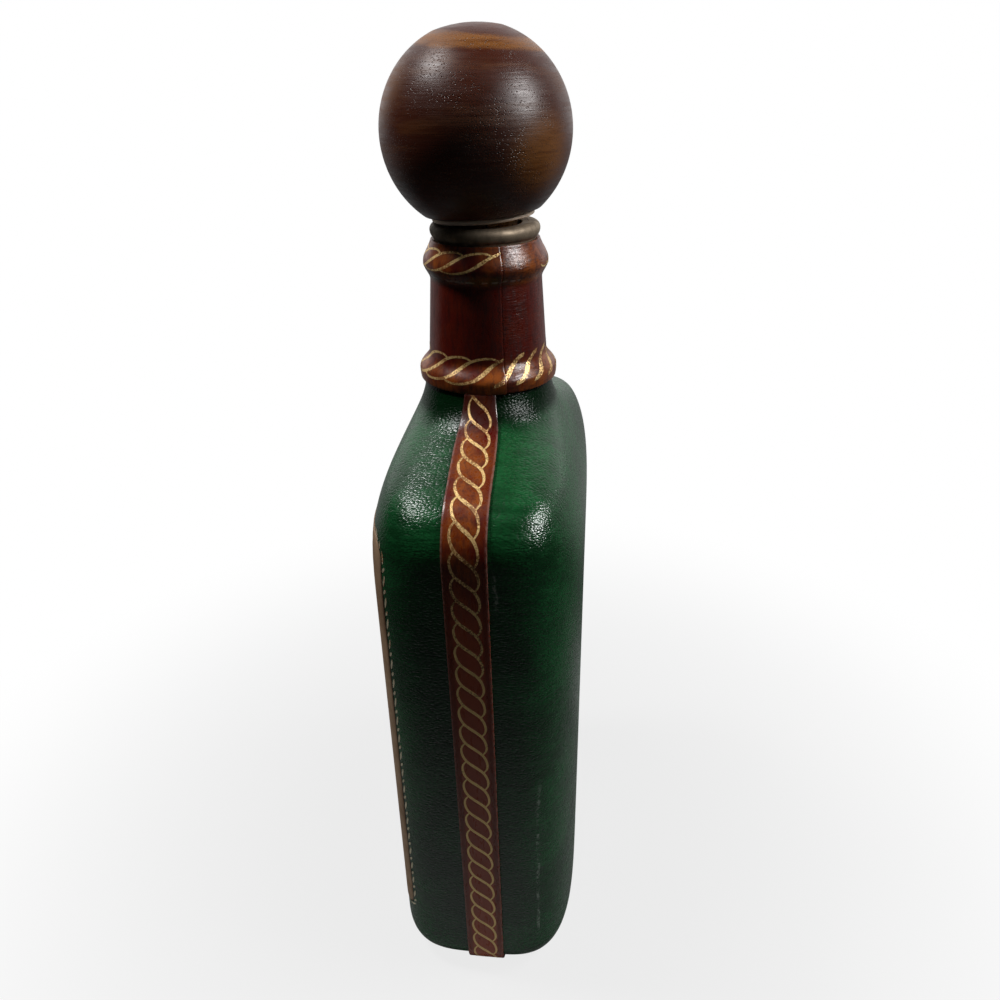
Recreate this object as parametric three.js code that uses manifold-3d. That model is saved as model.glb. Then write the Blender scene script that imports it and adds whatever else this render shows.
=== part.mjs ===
// A leather-covered glass decanter with a turned wooden ball stopper.
// Millimetres, +Z up. The origin is at the centre of the base, on the surface it stands on.
// X runs across the wide faces, the front panel faces -Y and the straps run down the narrow sides.
import * as THREE from 'three';
import { mergeVertices } from 'three/addons/utils/BufferGeometryUtils.js';
import Module from 'manifold-3d';

const wasm = await Module();
wasm.setup();

// Flask body, measured over its leather
const BODY_WIDTH = 128.8;
const BODY_DEPTH = 65.4;
const SECTION_POWER = 4.1; // 2 is an ellipse, a higher power is squarer
const BASE_FILLET = 11.6;
const SIDE_HEIGHT = 177; // where the narrow sides turn into the shoulder
const SHOULDER_RADIUS = 15.6;
const SHOULDER_SLOPE = THREE.MathUtils.degToRad(20.6);
const NECK_FILLET = 8.5;
const ROOT_RADIUS = 20.1; // of the green leather where the neck rises from the shoulder
const TAPER_LENGTH = 60.3; // below the neck root, where the wide faces draw in
const TAPER_POWER = 1.8;

// Layers, from the glass outwards
const LAYER_GAP = 0.2; // between one layer and the next
const GLASS_WALL = 3.5;
const LEATHER_THICKNESS = 1.5;
const LEATHER_TUCK = 1.5; // how far the green leather runs up under the sleeve
const SEAM_GAP = 0.3; // between the two leather halves
const STRAP_THICKNESS = 1;
const STRAP_WIDTH = 12.8;
const STRAP_SLANT = THREE.MathUtils.degToRad(0.57); // the strap runs a little off plumb
const STRAP_TUCK = 8; // how far a strap turns in under the flat of the base
const STRAP_LIFT = 0.1; // the straps stay this far above the surface that the pad stands on
const PAD_MARGIN = 2; // from the pad's long edge to the flat of the base

// Front panel, let into the front leather
const PANEL_HALF_WIDTH = 58.5;
const PANEL_BOTTOM = 22;
const PANEL_DROP = 30.2; // of its top edge below the neck root
const PANEL_CORNER = 7;
const PANEL_PROUD = 0.6;
const PANEL_JOINT = 0.3;

// Neck sleeve: a conical stem with a bead near its top and a band at its foot
const SLEEVE_HEIGHT = 42.4;
const SLEEVE_THICKNESS = 1.4;
const SLEEVE_EDGE = 0.8; // skived thickness at the lower edge
const SKIVE_LENGTH = 4;
const STEM_RADIUS = 19.05; // at the foot of the sleeve
const STEM_TAPER = 0.066; // radius lost per millimetre of height
const BAND_HEIGHT = 3.3; // of the band's crest above the neck root, where it laps over the green leather
const BAND_UPPER_FALL = 5.2;
const BAND_LOWER_FALL = 12;
const BEAD_HEIGHT = 35.9;
const BEAD_RISE = 2.25;
const BEAD_UPPER_FALL = 7.3;
const BEAD_LOWER_FALL = 5.4;
const OVERLAP_STEP = 0.7; // the sleeve's outer flap over its inner one
const OVERLAP_ANGLE = THREE.MathUtils.degToRad(21.5); // from +X towards +Y
const OVERLAP_SPREAD = THREE.MathUtils.degToRad(50);
const OVERLAP_EDGE = THREE.MathUtils.degToRad(0.8);

// Mouth: glass bore, lip and metal ring
const BORE_RADIUS = 10.8;
const BORE_FLARE = 15; // height over which the bore opens into the shoulder
const LIP_HEIGHT = 2.3; // of the glass above the sleeve
const RING_CLEARANCE = 0.3;
const RING_WALL = 0.8; // of the skirt
const RING_HEIGHT = 4.2;
const RING_BEAD_RADIUS = 1.9; // of the rolled rim
const RING_BEAD_RISE = 0.65; // of the rolled rim out past the skirt
const RING_DISH = 0.7; // depth of the dished top inside the rim
const RING_HOLE_GAP = 0.4; // the ring's hole over the glass bore

// Stopper, which sits askew in the mouth
const STOPPER_LEAN = THREE.MathUtils.degToRad(3.6);
const STOPPER_PIVOT_DEPTH = 4.6; // of the point it leans about, below the ring's rim
const FERRULE_LIFT = 1.2; // of the ferrule's underside above the ring's rim
const FERRULE_RADIUS = 14.6;
const FERRULE_THICKNESS = 1.4;
const FERRULE_ROUND = 0.5;
const BALL_RADIUS = 27.3;
const BALL_FOOT_RADIUS = 17; // of the flat that stands on the ferrule
const BALL_FLAT_RADIUS = 9.3; // of the worn flat on top
const BALL_CROWN = 0.7; // rise of that flat at its middle
const CORK_TOP_RADIUS = 10;
const CORK_FOOT_RADIUS = 9.1;
const CORK_LENGTH = 21;
const CORK_CHAMFER = 1.2;
const DOWEL_RADIUS = 4;
const DOWEL_IN_BALL = 16;
const DOWEL_IN_CORK = 13;
const DOWEL_CLEARANCE = 0.2;
const DOWEL_CHAMFER = 0.8;

// How finely the round forms are cut
const BODY_SEGMENTS = 32;
const TURNED_SEGMENTS = 32;
const ARC_STEPS = 5;
const SLOPE_STEPS = 2; // on long gentle stretches
const RIDGE_STEPS = 3; // on each flank of the sleeve's bead and band
const RING_STEPS = 3;
const BALL_STEPS = 7;
const PROBE_STEP = 0.01; // over which the slope of a surface is taken
const MERGE_DISTANCE = 1e-4; // points closer than this are one

// Heights that follow from those sizes
const baseZ = STRAP_THICKNESS + LAYER_GAP + STRAP_LIFT;
const halfWidthMax = BODY_WIDTH / 2;
const halfDepthMax = BODY_DEPTH / 2;
const shoulderEndX = halfWidthMax - SHOULDER_RADIUS * (1 - Math.sin(SHOULDER_SLOPE));
const shoulderEndZ = SIDE_HEIGHT + SHOULDER_RADIUS * Math.cos(SHOULDER_SLOPE);
const filletStartX = ROOT_RADIUS + NECK_FILLET * (1 - Math.sin(SHOULDER_SLOPE));
const filletStartZ = shoulderEndZ + (shoulderEndX - filletStartX) * Math.tan(SHOULDER_SLOPE);
const rootZ = filletStartZ + NECK_FILLET * Math.cos(SHOULDER_SLOPE);
const taperStartZ = rootZ - TAPER_LENGTH;
const panelTopZ = rootZ - PANEL_DROP;
const sleeveBottomZ = rootZ + LAYER_GAP;
const sleeveTopZ = rootZ + SLEEVE_HEIGHT;
const lipZ = sleeveTopZ + LIP_HEIGHT;
const ringBottomZ = sleeveTopZ + RING_CLEARANCE;
const ringRimZ = ringBottomZ + RING_HEIGHT;
const bandRadius = ROOT_RADIUS + LAYER_GAP + SLEEVE_THICKNESS;
const bandRise = bandRadius - STEM_RADIUS + STEM_TAPER * BAND_HEIGHT;

const smooth = (t) => 0.5 - 0.5 * Math.cos(Math.PI * THREE.MathUtils.clamp(t, 0, 1));
const bump = (t) => 1 - smooth(Math.abs(t));

// How far the base fillet has drawn the section in at height z
function baseInset(z) {
  const below = baseZ + BASE_FILLET - z;
  return below > 0 ? BASE_FILLET - Math.sqrt(Math.max(0, BASE_FILLET ** 2 - below ** 2)) : 0;
}

// Narrow-side profile: base fillet, upright side, round shoulder, slope and neck fillet
function halfWidth(z) {
  if (z <= SIDE_HEIGHT) return halfWidthMax - baseInset(z);
  if (z <= shoulderEndZ) {
    return halfWidthMax - SHOULDER_RADIUS + Math.sqrt(SHOULDER_RADIUS ** 2 - (z - SIDE_HEIGHT) ** 2);
  }
  if (z <= filletStartZ) return shoulderEndX - (z - shoulderEndZ) / Math.tan(SHOULDER_SLOPE);
  if (z < rootZ) return ROOT_RADIUS + NECK_FILLET - Math.sqrt(NECK_FILLET ** 2 - (rootZ - z) ** 2);
  return ROOT_RADIUS;
}

// Wide-face profile: upright, then one soft curve in to the neck
function halfDepth(z) {
  const t = THREE.MathUtils.clamp((z - taperStartZ) / TAPER_LENGTH, 0, 1);
  return halfDepthMax + (ROOT_RADIUS - halfDepthMax) * smooth(t ** TAPER_POWER) - baseInset(z);
}

// The section is squarish on the body and a circle at the neck
function sectionPower(z) {
  if (z <= SIDE_HEIGHT) return SECTION_POWER;
  const drawnIn = (halfWidthMax - halfWidth(z)) / (halfWidthMax - ROOT_RADIUS);
  return THREE.MathUtils.lerp(SECTION_POWER, 2, smooth(drawnIn));
}

function sectionValue(x, y, z) {
  const power = sectionPower(z);
  return Math.abs(x / halfWidth(z)) ** power + Math.abs(y / halfDepth(z)) ** power;
}

// Direction square to the leather's surface
function surfaceNormal(point) {
  if (point.z <= baseZ) return new THREE.Vector3(0, 0, -1);
  const step = PROBE_STEP;
  const slope = (dx, dy, dz) =>
    sectionValue(point.x + dx, point.y + dy, point.z + dz) -
    sectionValue(point.x - dx, point.y - dy, point.z - dz);
  return new THREE.Vector3(slope(step, 0, 0), slope(0, step, 0), slope(0, 0, step)).normalize();
}

const signedPower = (value, power) => Math.sign(value) * Math.abs(value) ** power;

// One ring of the body at height z, moved outwards by offset
function bodyRing(z, offset) {
  const ring = [];
  const power = 2 / sectionPower(z);
  for (let i = 0; i < BODY_SEGMENTS; i++) {
    const angle = (2 * Math.PI * i) / BODY_SEGMENTS;
    const x = halfWidth(z) * signedPower(Math.cos(angle), power);
    const y = halfDepth(z) * signedPower(Math.sin(angle), power);
    const point = new THREE.Vector3(x, y, z);
    ring.push(point.addScaledVector(surfaceNormal(point), offset));
  }
  return ring;
}

function circleRing(radius, z) {
  const ring = [];
  for (let i = 0; i < BODY_SEGMENTS; i++) {
    const angle = (2 * Math.PI * i) / BODY_SEGMENTS;
    ring.push(new THREE.Vector3(radius * Math.cos(angle), radius * Math.sin(angle), z));
  }
  return ring;
}

const between = (from, to, count) =>
  Array.from({ length: count + 1 }, (_, i) => THREE.MathUtils.lerp(from, to, i / count));

// Heights at which the body's rings lie, closer together where its profile turns
function bodyLevels() {
  const quarter = between(0, Math.PI / 2, ARC_STEPS);
  const turn = between(0, Math.PI / 2 - SHOULDER_SLOPE, ARC_STEPS);
  return [
    ...quarter.map((a) => baseZ + BASE_FILLET * (1 - Math.cos(a))),
    ...between(baseZ + BASE_FILLET, taperStartZ, SLOPE_STEPS).slice(1),
    ...between(taperStartZ, SIDE_HEIGHT, SLOPE_STEPS + 1).slice(1),
    ...turn.slice(1).map((a) => SIDE_HEIGHT + SHOULDER_RADIUS * Math.sin(a)),
    ...between(shoulderEndZ, filletStartZ, SLOPE_STEPS + 1).slice(1),
    ...turn.slice(1).map((a) => rootZ - NECK_FILLET * Math.sin(Math.PI / 2 - SHOULDER_SLOPE - a)),
  ];
}

const levels = bodyLevels();
const everyOther = levels.filter((_, i) => i === 0 || (levels.length - i) % 2 === 1);
const bodyRings = (offset, heights = levels) => heights.map((z) => bodyRing(z, offset));

// A closed surface through rings of equal length. The ends close at poles, or on each other.
function loft(rings, poles) {
  const count = rings[0].length;
  const points = rings.flat();
  const triangles = [];
  const bands = poles ? rings.length - 1 : rings.length;
  for (let k = 0; k < bands; k++) {
    const low = k * count;
    const high = ((k + 1) % rings.length) * count;
    for (let i = 0; i < count; i++) {
      const next = (i + 1) % count;
      triangles.push(low + i, low + next, high + next, low + i, high + next, high + i);
    }
  }
  if (poles) {
    const first = points.push(poles[0]) - 1;
    const last = points.push(poles[1]) - 1;
    const top = (rings.length - 1) * count;
    for (let i = 0; i < count; i++) {
      const next = (i + 1) % count;
      triangles.push(first, next, i, last, top + i, top + next);
    }
  }
  const geometry = new THREE.BufferGeometry().setFromPoints(points);
  geometry.setIndex(triangles);
  return geometry;
}

// A cup-shaped layer of the body between two offsets from the leather's surface
function bodyLayer(inner, outer) {
  const collar = rootZ + LEATHER_TUCK;
  const outside = [...bodyRings(outer), bodyRing(collar, outer)];
  const inside = [...bodyRings(inner), bodyRing(collar, inner)].reverse();
  const poles = [new THREE.Vector3(0, 0, baseZ - outer), new THREE.Vector3(0, 0, baseZ - inner)];
  return loft([...outside, ...inside], poles);
}

// A closed geometry as a solid that can be cut and joined
function solid(geometry) {
  const bare = geometry.clone();
  bare.deleteAttribute('normal');
  bare.deleteAttribute('uv');
  const merged = mergeVertices(bare, MERGE_DISTANCE);
  const corners = merged.index.array;
  const kept = [];
  for (let i = 0; i < corners.length; i += 3) {
    const [a, b, c] = corners.slice(i, i + 3);
    if (a !== b && b !== c && c !== a) kept.push(a, b, c);
  }
  const vertProperties = new Float32Array(merged.attributes.position.array);
  return new wasm.Manifold(new wasm.Mesh({ numProp: 3, vertProperties, triVerts: new Uint32Array(kept) }));
}

function geometryOf(body) {
  const mesh = body.getMesh();
  const geometry = new THREE.BufferGeometry();
  geometry.setAttribute('position', new THREE.BufferAttribute(mesh.vertProperties, 3));
  geometry.setIndex(new THREE.BufferAttribute(mesh.triVerts, 1));
  return geometry;
}

// A profile of (radius, height) points turned about Z. Points run anticlockwise round the material.
function turned(profile) {
  const lathe = new THREE.LatheGeometry(profile, TURNED_SEGMENTS);
  lathe.rotateX(Math.PI / 2);
  return geometryOf(solid(lathe));
}

// A flat XZ outline as a bar through the body along Y
function barAlongY(shape, fromY, toY) {
  const depth = toY - fromY;
  const bar = new THREE.ExtrudeGeometry(shape, { depth, bevelEnabled: false, curveSegments: ARC_STEPS });
  bar.rotateX(Math.PI / 2);
  bar.translate(0, toY, 0);
  return bar;
}

function roundedRectangle(left, right, bottom, top, radius) {
  const shape = new THREE.Shape();
  shape.absarc(right - radius, bottom + radius, radius, -Math.PI / 2, 0);
  shape.absarc(right - radius, top - radius, radius, 0, Math.PI / 2);
  shape.absarc(left + radius, top - radius, radius, Math.PI / 2, Math.PI);
  shape.absarc(left + radius, bottom + radius, radius, Math.PI, Math.PI * 1.5);
  return shape;
}

// Sleeve profile
function sleeveOuter(z) {
  const height = z - rootZ;
  const fromBand = height - BAND_HEIGHT;
  const fromBead = height - BEAD_HEIGHT;
  const band = bandRise * bump(fromBand / (fromBand > 0 ? BAND_UPPER_FALL : BAND_LOWER_FALL));
  const bead = BEAD_RISE * bump(fromBead / (fromBead > 0 ? BEAD_UPPER_FALL : BEAD_LOWER_FALL));
  return STEM_RADIUS - STEM_TAPER * height + band + bead;
}

function sleeveInner(z) {
  const skive = THREE.MathUtils.clamp((z - sleeveBottomZ) / SKIVE_LENGTH, 0, 1);
  return sleeveOuter(z) - THREE.MathUtils.lerp(SLEEVE_EDGE, SLEEVE_THICKNESS, skive);
}

function sleeveLevels() {
  const band = rootZ + BAND_HEIGHT;
  const bead = rootZ + BEAD_HEIGHT;
  return [
    sleeveBottomZ,
    ...between(band, band + BAND_UPPER_FALL, RIDGE_STEPS),
    ...between(bead - BEAD_LOWER_FALL, bead, RIDGE_STEPS),
    ...between(bead, sleeveTopZ, RIDGE_STEPS).slice(1),
  ];
}

// Layers of the flask
function glassFlask() {
  const outside = -(LEATHER_THICKNESS + LAYER_GAP);
  const inside = outside - GLASS_WALL;
  const rootOutside = ROOT_RADIUS + outside;
  const rootInside = ROOT_RADIUS + inside;
  const neck = sleeveLevels().map((z) => circleRing(Math.min(rootOutside, sleeveInner(z) - LAYER_GAP), z));
  const lipRadius = sleeveInner(sleeveTopZ) - LAYER_GAP;
  const bore = between(0, BORE_FLARE, ARC_STEPS).slice(1).map((height) => {
    const radius = THREE.MathUtils.lerp(rootInside, BORE_RADIUS, smooth(height / BORE_FLARE));
    return circleRing(radius, rootZ + height);
  });
  const rings = [
    ...bodyRings(outside),
    ...neck,
    circleRing(lipRadius, lipZ),
    circleRing(BORE_RADIUS, lipZ),
    ...bore.reverse(),
    ...bodyRings(inside, everyOther).reverse(),
  ];
  const poles = [new THREE.Vector3(0, 0, baseZ - outside), new THREE.Vector3(0, 0, baseZ - inside)];
  return loft(rings, poles);
}

const panelOutline = (inset) =>
  roundedRectangle(
    inset - PANEL_HALF_WIDTH,
    PANEL_HALF_WIDTH - inset,
    PANEL_BOTTOM + inset,
    panelTopZ - inset,
    PANEL_CORNER - inset,
  );

const panelBar = (inset) => solid(barAlongY(panelOutline(inset), -BODY_DEPTH, 0));

// One half of the green leather: side -1 is the front and 1 the back
function leatherHalf(side) {
  const half = new THREE.BoxGeometry(2 * BODY_WIDTH, 2 * BODY_DEPTH, 4 * SIDE_HEIGHT);
  half.translate(0, side * (BODY_DEPTH + SEAM_GAP / 2), 0);
  const leather = solid(bodyLayer(-LEATHER_THICKNESS, 0)).intersect(solid(half));
  return geometryOf(side < 0 ? leather.subtract(panelBar(0)) : leather);
}

function frontPanel() {
  const sheet = solid(bodyLayer(-LEATHER_THICKNESS, PANEL_PROUD));
  return geometryOf(sheet.intersect(panelBar(PANEL_JOINT)));
}

const padHalfLength = halfWidthMax - BASE_FILLET - STRAP_TUCK;

// One strap: up the narrow side and over the shoulder to the sleeve, side 1 on +X and -1 on -X
function sideStrap(side) {
  const strapTop = rootZ;
  const tuckTop = baseZ + BASE_FILLET;
  const tuckX = side * (padHalfLength + LAYER_GAP);
  const farX = side * BODY_WIDTH;
  const outline = new THREE.Shape();
  outline.moveTo(tuckX, -BASE_FILLET);
  outline.lineTo(farX, -BASE_FILLET);
  outline.lineTo(farX, strapTop);
  outline.lineTo(0, strapTop);
  outline.lineTo(0, tuckTop);
  outline.lineTo(tuckX, tuckTop);
  const slab = barAlongY(outline, -STRAP_WIDTH / 2, STRAP_WIDTH / 2);
  slab.translate(0, 0, -strapTop);
  slab.rotateX(STRAP_SLANT);
  slab.translate(0, 0, strapTop);
  const band = solid(bodyLayer(LAYER_GAP, LAYER_GAP + STRAP_THICKNESS));
  return geometryOf(band.intersect(solid(slab)));
}

function basePad() {
  const halfAcross = halfDepthMax - BASE_FILLET - PAD_MARGIN;
  const corners = between(0, 2 * Math.PI, BODY_SEGMENTS).slice(1).map((angle) => new THREE.Vector2(
    padHalfLength * signedPower(Math.cos(angle), 2 / SECTION_POWER),
    halfAcross * signedPower(Math.sin(angle), 2 / SECTION_POWER),
  ));
  const thickness = baseZ - LAYER_GAP;
  return new THREE.ExtrudeGeometry(new THREE.Shape(corners), { depth: thickness, bevelEnabled: false });
}

// The sleeve is one sheet wrapped round the neck, so its outer flap ends in a step
function neckSleeve() {
  const ring = (z, radius, step) =>
    between(OVERLAP_EDGE, 2 * Math.PI, BODY_SEGMENTS).map((turn) => {
      const fromFlap = (2 * Math.PI - turn) / OVERLAP_SPREAD;
      const reach = radius + step * bump(Math.min(fromFlap, 1));
      const angle = OVERLAP_ANGLE + turn;
      return new THREE.Vector3(reach * Math.cos(angle), reach * Math.sin(angle), z);
    });
  const heights = sleeveLevels();
  const outside = heights.map((z) => ring(z, sleeveOuter(z), OVERLAP_STEP));
  const inside = heights.map((z) => ring(z, sleeveInner(z), 0)).reverse();
  return loft([...outside, ...inside]);
}

// Metal ring over the glass lip: skirt, rolled bead, rim and dished top
function mouthRing() {
  const lipRadius = sleeveInner(sleeveTopZ) - LAYER_GAP;
  const skirtInner = lipRadius + RING_CLEARANCE;
  const skirtOuter = skirtInner + RING_WALL;
  const holeRadius = BORE_RADIUS + RING_HOLE_GAP;
  const seatZ = lipZ + RING_CLEARANCE;
  const beadX = skirtOuter + RING_BEAD_RISE - RING_BEAD_RADIUS;
  const beadZ = ringRimZ - RING_BEAD_RADIUS;
  const beadFoot = -Math.acos(1 - RING_BEAD_RISE / RING_BEAD_RADIUS);
  const dishX = (beadX + holeRadius) / 2;
  const dishZ = ringRimZ - RING_DISH;
  const outline = new THREE.Path();
  outline.moveTo(skirtInner, ringBottomZ);
  outline.lineTo(skirtOuter, ringBottomZ);
  outline.absarc(beadX, beadZ, RING_BEAD_RADIUS, beadFoot, Math.PI / 2);
  outline.quadraticCurveTo(dishX, ringRimZ, dishX, dishZ);
  outline.lineTo(holeRadius, dishZ);
  outline.lineTo(holeRadius, seatZ);
  outline.lineTo(skirtInner, seatZ);
  outline.closePath();
  return turned(outline.getPoints(RING_STEPS));
}

// Stopper pieces, upright and centred on its own axis, with the ferrule's underside at height 0
const ballFootZ = FERRULE_THICKNESS + LAYER_GAP;
const ballCentreZ = ballFootZ + Math.sqrt(BALL_RADIUS ** 2 - BALL_FOOT_RADIUS ** 2);
const ballFlatZ = ballCentreZ + Math.sqrt(BALL_RADIUS ** 2 - BALL_FLAT_RADIUS ** 2);

function stopperBall() {
  const bore = DOWEL_RADIUS + DOWEL_CLEARANCE;
  const footAngle = -Math.acos(BALL_FOOT_RADIUS / BALL_RADIUS);
  const flatAngle = Math.acos(BALL_FLAT_RADIUS / BALL_RADIUS);
  const boreTop = ballFootZ + DOWEL_IN_BALL + DOWEL_CLEARANCE;
  const outline = new THREE.Path();
  outline.moveTo(0, boreTop);
  outline.lineTo(bore, boreTop);
  outline.lineTo(bore, ballFootZ);
  outline.absarc(0, ballCentreZ, BALL_RADIUS, footAngle, flatAngle);
  outline.quadraticCurveTo(BALL_FLAT_RADIUS / 2, ballFlatZ + BALL_CROWN, 0, ballFlatZ + BALL_CROWN);
  return turned(outline.getPoints(BALL_STEPS));
}

function stopperFerrule() {
  const bore = DOWEL_RADIUS + DOWEL_CLEARANCE;
  const roundX = FERRULE_RADIUS - FERRULE_ROUND;
  const outline = new THREE.Path();
  outline.moveTo(bore, 0);
  outline.absarc(roundX, FERRULE_ROUND, FERRULE_ROUND, -Math.PI / 2, 0);
  outline.absarc(roundX, FERRULE_THICKNESS - FERRULE_ROUND, FERRULE_ROUND, 0, Math.PI / 2);
  outline.lineTo(bore, FERRULE_THICKNESS);
  outline.closePath();
  return turned(outline.getPoints(RING_STEPS));
}

const corkTopZ = -LAYER_GAP;
const dowelFootZ = corkTopZ - DOWEL_IN_CORK;

function stopperCork() {
  const bore = DOWEL_RADIUS + DOWEL_CLEARANCE;
  const footZ = corkTopZ - CORK_LENGTH;
  const outline = [
    [0, footZ],
    [CORK_FOOT_RADIUS - CORK_CHAMFER, footZ],
    [CORK_FOOT_RADIUS, footZ + CORK_CHAMFER],
    [CORK_TOP_RADIUS, corkTopZ],
    [bore, corkTopZ],
    [bore, dowelFootZ - DOWEL_CLEARANCE],
    [0, dowelFootZ - DOWEL_CLEARANCE],
  ];
  return turned(outline.map(([radius, z]) => new THREE.Vector2(radius, z)));
}

function stopperDowel() {
  const topZ = ballFootZ + DOWEL_IN_BALL;
  const endRadius = DOWEL_RADIUS - DOWEL_CHAMFER;
  const outline = [
    [0, dowelFootZ],
    [endRadius, dowelFootZ],
    [DOWEL_RADIUS, dowelFootZ + DOWEL_CHAMFER],
    [DOWEL_RADIUS, topZ - DOWEL_CHAMFER],
    [endRadius, topZ],
    [0, topZ],
  ];
  return turned(outline.map(([radius, z]) => new THREE.Vector2(radius, z)));
}

// Finishes
const finish = (color, roughness, metalness = 0) => ({ color, roughness, metalness });
const GLASS = finish('#9fb5a6', 0.05);
const GREEN_LEATHER = finish('#0d3a1c', 0.45);
const RED_LEATHER = finish('#5a1810', 0.45);
const TAN_LEATHER = finish('#a5866f', 0.6);
const BASE_LEATHER = finish('#2a1a12', 0.8);
const OLD_PEWTER = finish('#6d6653', 0.4, 1);
const STAINED_WOOD = finish('#3a1c0d', 0.4);
const DOWEL_WOOD = finish('#a9855a', 0.7);
const CORK = finish('#b98d5f', 0.9);

function piece(name, geometry, look) {
  const mesh = new THREE.Mesh(geometry, new THREE.MeshStandardMaterial(look));
  mesh.name = name;
  return mesh;
}

const stopper = new THREE.Group();
stopper.add(
  piece('stopper_ball', stopperBall(), STAINED_WOOD),
  piece('stopper_ferrule', stopperFerrule(), OLD_PEWTER),
  piece('stopper_cork', stopperCork(), CORK),
  piece('stopper_dowel', stopperDowel(), DOWEL_WOOD),
);
stopper.position.z = STOPPER_PIVOT_DEPTH + FERRULE_LIFT;

const leaning = new THREE.Group();
leaning.add(stopper);
leaning.position.z = ringRimZ - STOPPER_PIVOT_DEPTH;
leaning.rotation.x = STOPPER_LEAN;

const decanter = new THREE.Group();
decanter.add(
  piece('glass_flask', glassFlask(), GLASS),
  piece('leather_front', leatherHalf(-1), GREEN_LEATHER),
  piece('leather_back', leatherHalf(1), GREEN_LEATHER),
  piece('front_panel', frontPanel(), TAN_LEATHER),
  piece('strap_right', sideStrap(1), RED_LEATHER),
  piece('strap_left', sideStrap(-1), RED_LEATHER),
  piece('base_pad', basePad(), BASE_LEATHER),
  piece('neck_sleeve', neckSleeve(), RED_LEATHER),
  piece('mouth_ring', mouthRing(), OLD_PEWTER),
  leaning,
);

export default decanter;
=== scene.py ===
"""Dresses the leather-covered decanter and sets it on its stage."""
import math
from contextlib import contextmanager

import bpy
from bpy.props import FloatProperty, FloatVectorProperty, PointerProperty
from bpy.types import Operator, Panel, PropertyGroup
from mathutils import Matrix, Vector


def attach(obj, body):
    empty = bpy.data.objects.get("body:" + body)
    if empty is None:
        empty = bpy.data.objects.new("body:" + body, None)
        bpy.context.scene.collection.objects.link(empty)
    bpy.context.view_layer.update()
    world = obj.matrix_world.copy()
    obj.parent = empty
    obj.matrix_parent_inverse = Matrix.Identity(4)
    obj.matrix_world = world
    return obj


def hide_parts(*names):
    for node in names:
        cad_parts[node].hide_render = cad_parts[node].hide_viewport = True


bl_info = {
    "name": "Leather-covered decanter",
    "version": (1, 0, 0),
    "blender": (4, 5, 0),
    "location": "View3D > Sidebar > Decanter",
    "description": "Dresses a decanter in leather, gold, metal and wood, and sets its stage",
    "category": "Object",
}

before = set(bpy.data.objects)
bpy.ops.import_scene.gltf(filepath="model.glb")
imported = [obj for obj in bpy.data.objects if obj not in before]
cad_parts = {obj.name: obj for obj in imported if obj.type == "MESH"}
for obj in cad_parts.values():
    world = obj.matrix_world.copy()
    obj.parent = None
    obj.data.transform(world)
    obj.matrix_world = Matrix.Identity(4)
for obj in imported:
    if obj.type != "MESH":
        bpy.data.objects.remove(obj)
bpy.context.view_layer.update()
MILLIMETRE = 0.001
RIGHT_ANGLE = math.pi / 2
FULL_TURN = 2 * math.pi
WHITE = (1, 1, 1, 1)
SENSOR_WIDTH = 36.0


def length(name, millimetres, description):
    """A length that a user may set, given here in millimetres."""
    return FloatProperty(
        name=name, description=description, default=millimetres * MILLIMETRE, unit="LENGTH", precision=5)


def angle(name, degrees, description):
    """An angle that a user may set, given here in degrees."""
    return FloatProperty(
        name=name, description=description, default=math.radians(degrees), unit="ROTATION")


def factor(name, value, description):
    """A plain number that a user may set."""
    return FloatProperty(name=name, description=description, default=value)


def colour(name, value, description):
    """A colour that a user may set."""
    return FloatVectorProperty(
        name=name, description=description, default=(*value, 1.0), size=4, subtype="COLOR", min=0.0, max=1.0)


def watts(name, value, description):
    """A light's power that a user may set."""
    return FloatProperty(name=name, description=description, default=value, unit="POWER")


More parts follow.
